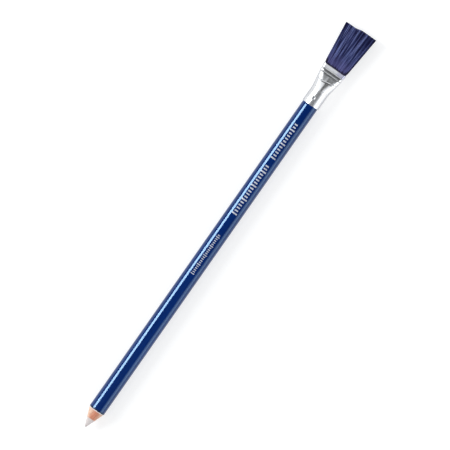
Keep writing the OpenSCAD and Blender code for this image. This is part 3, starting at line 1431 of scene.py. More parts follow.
@dataclass
class PaintCoats:
    """The white undercoat and the blue lacquer.

    Attributes:
        layout: Places and radii.
        ragged: Unevenness of the lacquer's cut edge.
        chip: Length of the small chips in that edge.
        chip_count: Number of chips.
        chip_turn: Angle that a chip spans to each side.
        edge_len: Length over which the edge's unevenness is lost.
    """

    layout: Layout
    ragged: float = 0.035 * MM
    chip: float = 0.10 * MM
    chip_count: int = 11
    chip_turn: float = math.radians(2.5)
    edge_len: float = 1.2 * MM

    def edge_shift(self, angles: np.ndarray, seed: int, chips: int) -> np.ndarray:
        """Shift of a cut edge towards the ferrule.

        Args:
            angles: Angles round the pencil.
            seed: Fixes the edge.
            chips: Number of chips in it.

        Returns:
            Shift at each angle.
        """
        shift = self.ragged + Unevenness(seed, self.ragged, 14).at(angles)
        pick = np.random.default_rng(seed)
        for place, size in zip(pick.uniform(0, math.tau, chips), pick.uniform(0.3, 1.0, chips)):
            turn = (angles - place + math.pi) % math.tau - math.pi
            shift += self.chip * size * np.exp(-(turn / self.chip_turn) ** 2)
        return shift

    def sleeve(self, name: str, loop: Sequence[Corner], seed: int, chips: int) -> bpy.types.Object:
        """Makes one coat.

        Args:
            name: Name of the piece.
            loop: Corners of its section.
            seed: Fixes its cut edge.
            chips: Number of chips in the edge.

        Returns:
            The piece, not yet in the scene.
        """
        lay = self.layout
        angles = angles_round(lay.marks)
        rows = turned(spaced(rounded(loop, steps=4), lay.gap), angles, lay.axis_z)
        near = 1.0 - soft_step((rows[..., 0] - lay.cut_x(lay.primer_r)) / self.edge_len)
        rows[..., 0] += near * self.edge_shift(angles, seed, chips)
        rows = pressed(rows, lay.axis_z, lay.marks, lay.groove_r, lay.seat_r)
        skin = Skin()
        skin.grid(rows, wrap_rows=True)
        return skin.build(name)

    def build(self) -> list[bpy.types.Object]:
        """Makes both coats.

        Returns:
            The undercoat and the lacquer.
        """
        lay = self.layout
        soft, taper_x = 0.02 * MM, lay.tube_x - lay.seat_taper
        primer_seat_r = lay.primer_r - lay.seat_cut
        under = self.sleeve("white_undercoat", [
            lay.on_cone(lay.wood_r),
            lay.on_cone(lay.primer_r, soft),
            Corner(taper_x, lay.primer_r),
            Corner(lay.tube_x, primer_seat_r),
            Corner(lay.end_x, primer_seat_r, soft),
            Corner(lay.end_x, lay.wood_r)], 21, 0)
        blue = self.sleeve("blue_lacquer", [
            lay.on_cone(lay.primer_r),
            lay.on_cone(lay.barrel_r, 2.0 * soft),
            Corner(taper_x, lay.barrel_r, 0.25 * MM),
            Corner(lay.tube_x, lay.seat_r, 0.25 * MM),
            Corner(lay.end_x, lay.seat_r, soft),
            Corner(lay.end_x, primer_seat_r),
            Corner(lay.tube_x, primer_seat_r),
            Corner(taper_x, lay.primer_r)], 33, self.chip_count)
        lacquer = BarrelLacquer(lay.cut_x(lay.barrel_r), lay.tube_x)
        return [hand_over(under, ["primer_coat"], WhiteUndercoat()),
                hand_over(blue, ["lacquer_coat"], lacquer)]


@dataclass(frozen=True)
class ScaleRow:
    """One row of plain graduation marks on the barrel.

    Attributes:
        name: Name of the piece.
        start: Distance from the point to the first mark.
        length: Length of the row.
        height: Length of the long marks, measured round the barrel.
        pitch: Distance between marks.
        width: Width of a mark.
    """

    name: str
    start: float
    length: float
    height: float
    pitch: float
    width: float


@dataclass
class FoilScales:
    """Rows of plain marks in silver foil, pressed on the upper side of the barrel.

    Attributes:
        layout: Places and radii.
        rows: The rows of marks.
        lift: Thickness of the foil.
        bedded: Height of the foil's middle over the barrel, as a share of its thickness.
        long_every: Every so many marks is a long one.
        short_share: Length of the short marks as a share of the long ones.
    """

    layout: Layout
    rows: tuple[ScaleRow, ...] = (
        ScaleRow("foil_scale_fine", 81.2 * MM, 20.0 * MM, 1.7 * MM, 0.95 * MM, 0.40 * MM),
        ScaleRow("foil_scale_wide", 112.8 * MM, 24.8 * MM, 2.6 * MM, 1.45 * MM, 0.62 * MM),
        ScaleRow("foil_scale_end", 141.8 * MM, 17.6 * MM, 2.3 * MM, 1.45 * MM, 0.62 * MM),
    )
    lift: float = 0.006 * MM
    bedded: float = 0.4
    long_every: int = 5
    short_share: float = 0.62

    def scale(self, row: ScaleRow) -> bpy.types.Object:
        """Makes one row of marks.

        Args:
            row: The row.

        Returns:
            The piece.
        """
        lay = self.layout
        bench = GeometryBench(row.name, {
            "Marks": 1 + int(row.length / row.pitch + 0.5),
            "First mark": lay.point_x + row.start,
            "Pitch": row.pitch,
            "Mark width": row.width,
            "Long mark": row.height,
            "Short share": self.short_share,
            "Long every": self.long_every,
            "Barrel radius": lay.barrel_r,
            "Axis height": lay.axis_z,
            "Foil thickness": self.lift,
            "Foil": SilverFoil().material(),
        })
        line = bench.get("GeometryNodeMeshLine", {
            "Count": bench["Marks"], "Start Location": bench.joined(bench["First mark"], 0.0, 0.0),
            "Offset": bench.joined(bench["Pitch"], 0.0, 0.0)})
        turn = bench.math("MODULO", bench.get("GeometryNodeInputIndex"), bench["Long every"])
        share = bench.math("MAXIMUM", bench.math("LESS_THAN", turn, 0.5), bench["Short share"])
        thick = bench["Foil thickness"]
        size = bench.joined(bench["Mark width"], bench["Long mark"] * share, thick)
        cube = bench.get("GeometryNodeMeshCube", {
            "Size": (1.0, 1.0, 1.0), "Vertices X": 3, "Vertices Y": 13, "Vertices Z": 2})
        marks = bench.copied(line, cube, Scale=size)
        x, y, z = bench.parts(bench.get("GeometryNodeInputPosition"))
        angle = y / bench["Barrel radius"]
        r = z + bench["Barrel radius"] + thick * self.bedded
        wrapped = bench.joined(x, r * bench.math("SINE", angle),
                               r * bench.math("COSINE", angle) + bench["Axis height"])
        bench.close(bench.moved(marks, wrapped), bench["Foil"])
        return hand_over(bench.run(row.name, bpy.data.meshes.new(row.name)))

    def build(self) -> list[bpy.types.Object]:
        """Makes every row."""
        return [self.scale(row) for row in self.rows]


@dataclass
class BrushFerrule:
    """Metal ferrule, a round tube on the pencil that is pressed flat at its mouth.

    Attributes:
        layout: Places and radii.
        tube_len: Length of the round tube.
        lip_len: Length of the lip at the mouth.
        mouth_t: Thickness of the mouth over the metal.
        lead_len: Length by which the flare starts past the tube.
        tube_wall: Wall of the tube.
        flare_wall: Wall of the flare and the lip.
        bend: Roundness of the bends at both ends of the flare.
        groove_w: Width of a crimp groove.
        groove_depth: Depth of a crimp groove.
        ridge_w: Width of the ridge between the grooves.
        groove_back: Distance from the lip back to the nearer groove.
        bead: Height of the beads beside the grooves, as a share of the grooves' depth.
        bell: Amount by which the lip opens towards the mouth.
        waist_len: Length over which the flare is drawn in before the lip.
        fold_at: Place of the faint fold across the flare, from the tube's end.
        fold_w: Width of the fold.
        fold_depth: Depth of the fold.
        fold_slant: Distance along the pencil by which the fold shifts for each unit across.
        face_start: Share of the pressed face's width that is reached at the fold.
        face_step: Share by which it widens there in a step.
        step_w: Length of that step, as a share of the flare.
        line_w: Width of the faint line where the tube ends.
        line_depth: Depth of that line.
        spine_w: Turn from the tube's top to the foot of the soft spine along it.
        spine: Height of that spine, which the press left.
        crown: Half angle of the band that turns into the flat face, in degrees.
        mouth_roll: Roundness of the rolled edge at the mouth.
        tube_roll: Roundness of the rolled edge at the open end.
        rub_len: Length of the stretch at both edges that is rubbed bright.
        reflection_edge: Length over which the painted reflection on the lip sets in.
        slit_grime_and_shade: Amount of grime and painted shade in the slit of a punch mark.
        side_steps: Points on each round side.
        face_steps: Points on each flat face.
    """

    layout: Layout
    tube_len: float = 7.4 * MM
    lip_len: float = 1.8 * MM
    mouth_t: float = 2.6 * MM
    lead_len: float = 0.1 * MM
    tube_wall: float = 0.34 * MM
    flare_wall: float = 0.29 * MM
    bend: float = 0.045
    groove_w: float = 0.8 * MM
    groove_depth: float = 0.2 * MM
    ridge_w: float = 0.66 * MM
    groove_back: float = -0.06 * MM
    bead: float = 0.28
    bell: float = 0.23 * MM
    waist_len: float = 1.6 * MM
    fold_at: float = 4.4 * MM
    fold_w: float = 1.0 * MM
    fold_depth: float = 0.17 * MM
    fold_slant: float = 0.16
    face_start: float = 0.10
    face_step: float = 0.16
    step_w: float = 0.07
    line_w: float = 0.8 * MM
    line_depth: float = 0.07 * MM
    spine_w: float = math.radians(24.0)
    spine: float = 0.09 * MM
    crown: float = 19.0
    mouth_roll: float = 0.09 * MM
    tube_roll: float = 0.08 * MM
    rub_len: float = 0.25 * MM
    reflection_edge: float = 0.3 * MM
    slit_grime_and_shade: float = 1.2
    side_steps: int = 36
    face_steps: int = 40

    @property
    def flare_x(self) -> float:
        """Place at which the tube ends."""
        return self.layout.tube_x + self.tube_len

    @property
    def flare_len(self) -> float:
        """Length of the flare between the tube and the lip."""
        return self.layout.mouth_x - self.lip_len - self.flare_x

    @property
    def mouth(self) -> float:
        """Distance from the tube's end to the mouth."""
        return self.flare_len + self.lip_len

    @property
    def flat(self) -> float:
        """Half width of the mouth's flat face."""
        return self.layout.mouth_y - self.mouth_t / 2 * math.cos(math.pi / 48)

    def groove_starts(self) -> list[float]:
        """Starts of the crimp grooves, from the tube's end."""
        first = self.flare_len - self.groove_back - self.groove_w
        return [first, first - self.groove_w - self.ridge_w]

    def dip(self, x: float) -> float:
        """Depth of the crimp grooves and the beads beside them.

        Args:
            x: Distance past the tube's end.

        Returns:
            Share of the grooves' depth, below 0 on a bead.
        """
        total = 0.0
        for start in self.groove_starts():
            total += cosine_dip((x - start) / self.groove_w)
            total -= self.bead * cosine_dip((x - start + self.ridge_w) / self.ridge_w)
        return total

    def share(self, x: float) -> float:
        """Progress of the flare at a distance past the tube's end."""
        return soft_ramp((x - self.lead_len) / (self.flare_len - self.lead_len), self.bend)

    def waist(self, x: float) -> float:
        """Depth to which the lip is drawn in at a distance past the tube's end."""
        if x < self.flare_len:
            return self.bell * float(soft_step(1.0 - (self.flare_len - x) / self.waist_len))
        return self.bell * (1.0 - (x - self.flare_len) / self.lip_len)

    def face(self, x: float) -> float:
        """Half width of the pressed face, which steps out at the fold.

        Args:
            x: Distance past the tube's end.

        Returns:
            The half width.
        """
        share, fold = self.share(x), self.share(self.fold_at)
        step = self.face_step * float(soft_step((share - fold) / self.step_w + 0.5))
        rest = 1.0 - self.face_start - self.face_step
        after = rest * max(0.0, (share - fold) / (1.0 - fold))
        return self.flat * (self.face_start * min(share / fold, 1.0) + step + after)

    def ring(self, x: float, inset: float) -> np.ndarray:
        """Outline of the ferrule across the pencil.

        Args:
            x: Distance past the tube's end.
            inset: Depth below the outer surface.

        Returns:
            Rows of y and z from the axis, counter-clockwise from the lower right.
        """
        share, face = self.share(x), self.face(x)
        depth = inset + self.waist(x)
        r = self.layout.axis_z + (self.mouth_t / 2 - self.layout.axis_z) * share
        wide = self.flat * share + r - face - depth
        line = self.line_depth * cosine_dip(x / self.line_w + 0.5)
        high = r - depth - self.groove_depth * self.dip(x) - line
        crown = math.radians(self.crown) * (1.0 - share)
        sides = np.linspace(crown - math.pi / 2, math.pi / 2 - crown, self.side_steps + 1)[:-1]
        faces = np.linspace(1.0, -1.0, self.face_steps + 1)[:-1]
        side = np.stack([face + wide * np.cos(sides), high * np.sin(sides)], axis=1)
        top = np.stack([faces * face + wide * np.sin(faces * crown),
                        high * np.cos(faces * crown)], axis=1)
        ring = np.vstack([side, top, -side, -top])
        off = np.arctan2(np.abs(ring[:, 0]), np.abs(ring[:, 1]))
        foot = soft_step(off / self.spine_w) * soft_step((math.pi / 2 - off) / (1.2 * self.spine_w))
        keep = max(0.0, 1.0 - inset / self.tube_wall) * (1.0 - share)
        ring *= (1.0 - self.spine / r * foot * keep)[:, None]
        shift = self.fold_slant * ring[:, 0]
        fold = self.fold_depth * cosine_dip((x - self.fold_at + shift) / self.fold_w + 0.5)
        ring[:, 1] -= fold * np.clip(ring[:, 1] / (self.mouth_t / 2), -1.0, 1.0)
        return ring

    def hoop(self, x: float, inset: float) -> np.ndarray:
        """The same outline in space, as rows of x, y and z."""
        ring = self.ring(x, inset) + np.array([0.0, self.layout.axis_z])
        return np.insert(ring, 0, self.flare_x + x, axis=1)

    def plug(self, name: str, start: float, end: float, spare: float) -> bpy.types.Object:
        """Makes a solid that fills a stretch of the flare.

        Args:
            name: Name of the piece.
            start: Its start past the tube's end.
            end: Its end past the tube's end.
            spare: Gap that it leaves to the wall.

        Returns:
            The piece, not yet in the scene.
        """
        places = np.linspace(start, end, max(4, int((end - start) / (0.2 * MM))))
        skin = Skin()
        ids = skin.grid(np.array([self.hoop(float(x), self.flare_wall + spare) for x in places]))
        skin.lid(ids[0])
        skin.lid(ids[-1])
        low = {name: np.zeros(len(skin.points)) for name in ("shade", "along", "lane")}
        return skin.build(name, low)

    def stations(self) -> list[float]:
        """Places of the rings, from the ferrule's open end to its mouth.

        Returns:
            Distances past the tube's end.
        """
        mark = self.layout.marks[0].x - self.flare_x
        spots = [np.arange(-self.tube_len + 0.15 * MM, -0.3 * MM, 0.5 * MM),
                 np.arange(mark - 0.8 * MM, mark + 0.8 * MM, 0.085 * MM),
                 np.arange(-0.4 * MM, 0.7 * MM, 0.1 * MM),
                 np.arange(0.7 * MM, self.flare_len, 0.25 * MM),
                 self.fold_at + np.linspace(-1.1, 1.1, 25) * self.fold_w,
                 np.linspace(-0.5, 0.5, 9) * self.line_w,
                 np.arange(self.flare_len, self.mouth - 0.12 * MM, 0.12 * MM)]
        for start in self.groove_starts():
            spots += [start + np.linspace(0.0, 1.0, 13) * self.groove_w,
                      start - np.linspace(0.1, 0.9, 7) * self.ridge_w]
        every = np.sort(np.concatenate(spots))
        return [float(x) for x in every[np.r_[True, np.diff(every) > 0.02 * MM]]]

    def wall(self, x: float) -> float:
        """Wall of the ferrule at a distance past the tube's end."""
        return self.tube_wall + (self.flare_wall - self.tube_wall) * float(soft_step(x / MM))

    def section(self) -> list[tuple[float, float]]:
        """Section through the wall, all the way round it.

        Returns:
            Pairs of a distance past the tube's end and an inset.
        """
        lines = self.stations()
        start, end = -self.tube_len, self.mouth
        outer = [(x, 0.0) for x in lines]
        inner = [(x, self.wall(x)) for x in reversed(lines)]
        back, front = [], []
        for q in np.linspace(0.0, math.pi, 9):
            round_in = (1.0 - math.cos(q)) / 2.0
            rolled = 1.0 - math.sin(q)
            front.append((end - self.mouth_roll * rolled, self.wall(end) * round_in))
            back.append((start + self.tube_roll * rolled, self.wall(start) * (1.0 - round_in)))
        return outer + front + inner + back

    def build(self) -> list[bpy.types.Object]:
        """Makes the ferrule.

        Returns:
            The one piece.
        """
        lay = self.layout
        section = self.section()
        grid = np.array([self.hoop(x, inset) for x, inset in section])
        high = grid[..., 2] - lay.axis_z
        turn = np.arctan2(high, grid[..., 1])
        places, insets = np.array(section).T[..., None]
        dips = np.array([[self.dip(x)] for x, _ in section]) * (insets == 0.0)
        # Grime and painted shade in the crimp grooves, more on the flat faces, and in the punch
        # marks' slits
        grime_and_shade = np.maximum(dips, 0.0) * np.clip(np.abs(high) / (self.mouth_t / 2), 0.0, 1.0) ** 2
        for mark in lay.marks:
            grime_and_shade = np.maximum(grime_and_shade, self.slit_grime_and_shade * mark.slit_at(grid[..., 0], turn, lay.axis_z))
        edge = np.minimum(abs(places - self.mouth), abs(places + self.tube_len))
        rubbed = np.broadcast_to(np.maximum(1.0 - edge / self.rub_len, 0.0), high.shape)
        # Where the painted reflection of the bristles sets in along the lip
        reflection_fade = soft_step((places - self.flare_len) / self.reflection_edge + 0.5)
        lip = np.broadcast_to(reflection_fade, high.shape)
        skin = Skin()
        skin.grid(pressed(grid, lay.axis_z, lay.marks, 0.5 * lay.seat_r, lay.seat_r), wrap_rows=True)
        ferrule = skin.build("brush_ferrule", {"recess": grime_and_shade, "rubbed": rubbed, "lip": lip})
        metal = PressedAluminium()
        return [hand_over(ferrule, ["ferrule"], metal, crease=60.0)]


@dataclass
class RootCement:
    """Set cement behind the roots, cast in the flare.

    Attributes:
        ferrule: The ferrule that holds it.
        spare: Shrinkage gap to the wall.
    """

    ferrule: BrushFerrule
    spare: float = 0.03 * MM

    def build(self) -> list[bpy.types.Object]:
        """Makes the casting.

        Returns:
            The one piece.
        """
        low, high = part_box("root_cement")
        start, end = low.x - self.ferrule.flare_x, high.x - self.ferrule.flare_x
        cement = self.ferrule.plug("cast_cement", start, end, self.spare)
        return [hand_over(cement, ["root_cement"], CastCement())]


class FilamentTree(GeometryBench):
    """Tree that grows the tuft's filaments from a staggered field of roots.

    Each of its terms has one value for each filament.

    Attributes:
        tuft: The tuft, with its sizes.
        u: Place across the width, -1 to 1.
        v: Place across the thickness, -1 to 1.
        clump: Number of the clump.
        away: How far the clump's middle is, as a share of a clump's width.
        strip: Number of the strip.
    """

    def __init__(self, tuft: "BristleTuft") -> None:
        """Spreads the filaments in staggered rows, and shares them out in clumps and strips.

        Args:
            tuft: The tuft.
        """
        super().__init__("bristle_field", tuft.inputs())
        self.tuft = tuft
        index = self.get("GeometryNodeInputIndex")
        row = self.math("MODULO", index, self["Rows"])
        column = self.math("FLOOR", index / self["Rows"])
        stagger = self.math("MODULO", row, 2.0) * 0.5
        across = column + stagger + self.drawn(0, 0.05, 0.95) * 0.5
        deep = row + self.drawn(1, 0.1, 0.9)
        self.u = across / self["Columns"] * 2.0 - 1.0
        self.v = deep / self["Rows"] * 2.0 - 1.0
        layer = self.math("FLOOR", self.v * 1.5 + 1.5)
        wander = layer * 0.37 + self.drawn(2, -0.35, 0.35)
        place = (self.u * 0.5 + 0.5) * self["Clumps"] + wander
        cell = self.math("FLOOR", place)
        self.clump = layer * 100.0 + cell
        self.away = cell + self.drawn(3, 0.3, 0.7, self.clump) - place
        strips = self["Strips"]
        self.strip = self.math("FLOOR", self.u * (strips * 0.5) + (layer * 300.0 + strips))

    def drawn(self, number: int, low: float = 0.0, high: float = 1.0,
              group: Term | None = None) -> Term:
        """Random number from the tuft's own draw of that number."""
        return self.random(low, high, self.tuft.seed + number, group)

    def lean(self) -> Term:
        """Lean to the side at the cut end, towards the clump's middle.

        Returns:
            The lean.
        """
        pitch = self["Cut end half width"] * 2.0 / self["Clumps"]
        pull = self["Gather"] * self.drawn(4, 0.3, 1.3, self.clump)
        return self.away * pitch * (pull * self.ease(abs(self.u), *self.tuft.gather_fade))

    def shade(self) -> Term:
        """Shade by the filament itself, its clump and its strip, with painted shade towards the
        edges of each clump and at both sides of the tuft.

        Returns:
            The shade, about 0 in the darkest and 1 in the lightest.
        """
        tuft = self.tuft
        own = self.drawn(5) * tuft.own_shade + self.drawn(6, group=self.clump) * tuft.clump_shade
        broad = self.drawn(10, group=self.strip) * tuft.strip_shade
        # Painted shade: darker towards each clump's edges and at both sides of the tuft
        middle = self.ease(abs(self.away), *tuft.middle_shade)
        return own + broad + middle - (self.ease(self.u, *tuft.right_dim)
                                       + self.ease(self.u, *tuft.left_dim))

    def trim(self, tip_y: Term) -> Term:
        """Amount trimmed off the cut end, more towards +Y and a little ragged.

        Args:
            tip_y: Place of the cut end across the width.

        Returns:
            The amount.
        """
        spot = tip_y / (self["Cut end half width"] * 2.0)
        step = self.ease(spot, *self.tuft.trim_at) * self["Trim step"]
        loose = self.math("POWER", self.drawn(7), 3.0) * 0.6
        return (loose + self.drawn(11, 0.0, 0.4, self.strip)) * self["Trim scatter"] + step

    def roots(self) -> Term:
        """Sets a point at each root that holds what its filament needs.

        Returns:
            The points.
        """
        u, v, axis = self.u, self.v, self["Axis height"]
        flat, root_r = self["Root flat half width"], self["Root half thickness"]
        root_y = u * (self.math("SQRT", 1.0 - v * v) * root_r + flat)
        tip_y = root_y * (self["Cut end half width"] / (flat + root_r)) + self["Cut end shift"]
        tip_x = self["Cut end place"] - self.trim(tip_y)
        root = self.joined(self["Root place"], root_y, v * root_r + axis)
        tip = self.joined(tip_x, tip_y, v * self["Cut end half thickness"] + axis)
        sway = self.joined(0.0, self.drawn(8, -1.0), self.drawn(9, -1.0)) * self["Bow"]
        points = self.get("GeometryNodePoints", {
            "Count": self["Columns"] * self["Rows"], "Position": root})
        return self.keep(points, root=root, tip=tip, sway=sway,
                         lean=self.joined(0.0, self.lean(), 0.0),
                         open=self.joined(0.0, u, v * 0.4) * self["Splay"],
                         shade=self.shade(), lane=u)

    def filaments(self) -> Term:
        """Bends a straight line into place on each root and makes a tube of it.

        Returns:
            The filaments.
        """
        line = self.get("GeometryNodeCurvePrimitiveLine", {
            "Start": (0.0, 0.0, 0.0), "End": (1.0, 0.0, 0.0)})
        line = self.get("GeometryNodeResampleCurve", {"Curve": line, "Count": self["Rings"]})
        along = self.get("GeometryNodeSplineParameter", key="Factor")
        lines = self.keep(self.copied(self.roots(), line), along=along)
        far = self.kept("along")
        root, tip, sway, opened, lean = (
            self.kept(name, "FLOAT_VECTOR") for name in ("root", "tip", "sway", "open", "lean"))
        path = root + (tip - root) * far
        path = path + sway * self.math("SINE", far * math.pi)
        path = path + opened * (self.ease(far, *self.tuft.splay_at) * (1.0 - far))
        path = path + lean * self.math("POWER", far, 1.2)
        lines = self.get("GeometryNodeSetCurveRadius", {
            "Curve": self.moved(lines, path), "Radius": self.ease(far, *self.tuft.slim)})
        circle = self.get("GeometryNodeCurvePrimitiveCircle", {
            "Resolution": self["Sides"], "Radius": self["Filament diameter"] * 0.5})
        return self.get("GeometryNodeCurveToMesh", {
            "Curve": lines, "Profile Curve": circle, "Fill Caps": True})


@dataclass
class BristleTuft:
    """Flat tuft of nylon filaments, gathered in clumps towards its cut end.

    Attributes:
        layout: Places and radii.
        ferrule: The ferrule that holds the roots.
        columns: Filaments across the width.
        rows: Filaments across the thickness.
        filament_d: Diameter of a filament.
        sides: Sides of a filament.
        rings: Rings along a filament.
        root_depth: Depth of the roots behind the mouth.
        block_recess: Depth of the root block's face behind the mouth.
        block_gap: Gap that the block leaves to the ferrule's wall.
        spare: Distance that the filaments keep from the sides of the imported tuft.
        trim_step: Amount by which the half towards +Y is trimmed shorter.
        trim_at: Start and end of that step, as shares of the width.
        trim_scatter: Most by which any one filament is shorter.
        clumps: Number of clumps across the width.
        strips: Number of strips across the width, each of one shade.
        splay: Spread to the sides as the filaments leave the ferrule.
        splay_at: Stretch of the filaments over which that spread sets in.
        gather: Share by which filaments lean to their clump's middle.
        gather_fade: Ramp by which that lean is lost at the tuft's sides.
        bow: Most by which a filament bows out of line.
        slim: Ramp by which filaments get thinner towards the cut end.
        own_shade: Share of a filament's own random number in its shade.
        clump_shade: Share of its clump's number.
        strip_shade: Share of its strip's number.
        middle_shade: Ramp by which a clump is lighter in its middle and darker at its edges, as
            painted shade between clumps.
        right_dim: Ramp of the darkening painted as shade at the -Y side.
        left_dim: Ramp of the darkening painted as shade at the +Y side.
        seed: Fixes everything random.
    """

    layout: Layout
    ferrule: BrushFerrule
    columns: int = 128
    rows: int = 14
    filament_d: float = 0.125 * MM
    sides: int = 5
    rings: int = 9
    root_depth: float = 1.2 * MM
    block_recess: float = 0.6 * MM
    block_gap: float = 0.03 * MM
    spare: float = 0.01 * MM
    trim_step: float = 0.65 * MM
    trim_at: tuple[float, float] = (-0.03, 0.22)
    trim_scatter: float = 0.55 * MM
    clumps: int = 17
    strips: int = 52
    splay: float = 0.35 * MM
    splay_at: tuple[float, float] = (0.03, 0.12)
    gather: float = 0.75
    gather_fade: Ramp = (0.78, 0.97, 1.0, 0.0)
    bow: float = 0.09 * MM
    slim: Ramp = (0.8, 1.0, 1.0, 0.78)
    own_shade: float = 0.15
    clump_shade: float = 0.22
    strip_shade: float = 0.50
    middle_shade: Ramp = (0.15, 0.48, 0.20, 0.0)
    right_dim: Ramp = (-1.0, -0.93, 0.45, 0.0)
    left_dim: Ramp = (0.94, 1.0, 0.0, 0.35)
    seed: int = 41

    def block(self) -> bpy.types.Mesh:
        """Block of set roots that fills the lip.

        Returns:
            Its mesh.
        """
        body = self.ferrule
        start, end = body.flare_len + 2.0 * self.spare, body.mouth - self.block_recess
        return body.plug("root_block", start, end, self.block_gap).data

    def inputs(self) -> dict[str, object]:
        """What the filaments' tree is run with.

        Returns:
            The value of each input, by its name.
        """
        lay, body = self.layout, self.ferrule
        low, high = lay.tip
        half_d = self.filament_d / 2
        return {
            "Columns": self.columns,
            "Rows": self.rows,
            "Rings": self.rings,
            "Sides": self.sides,
            "Filament diameter": self.filament_d,
            "Root flat half width": body.flat,
            "Root half thickness": body.mouth_t / 2 - body.flare_wall - body.bell - half_d,
            "Root place": lay.mouth_x - self.root_depth,
            "Cut end place": high.x - 2.0 * self.spare,
            "Cut end half width": (high.y - low.y - self.filament_d) / 2 - self.spare,
            "Cut end half thickness": (high.z - low.z - self.filament_d) / 2,
            "Cut end shift": (low.y + high.y) / 2 - self.spare,
            "Trim step": self.trim_step,
            "Trim scatter": self.trim_scatter,
            "Clumps": float(self.clumps),
            "Strips": float(self.strips),
            "Splay": self.splay,
            "Gather": self.gather,
            "Bow": self.bow,
            "Axis height": lay.axis_z,
            "Nylon": NylonFilament().material(),
        }

    def build(self) -> list[bpy.types.Object]:
        """Makes the tuft.

        Returns:
            The one piece.
        """
        tree = FilamentTree(self)
        joint = tree.add("GeometryNodeJoinGeometry")
        for part in (tree.filaments(), tree["Geometry"]):
            tree.feed(joint, {0: part})
        tree.close(tree.out(joint), tree["Nylon"])
        tuft = tree.run("bristle_tuft_nylon", self.block())
        for name in ("root", "tip", "sway", "lean", "open"):
            tuft.data.attributes.remove(tuft.data.attributes[name])
        return [hand_over(tuft, ["bristle_tuft"], crease=75.0)]


# Studio


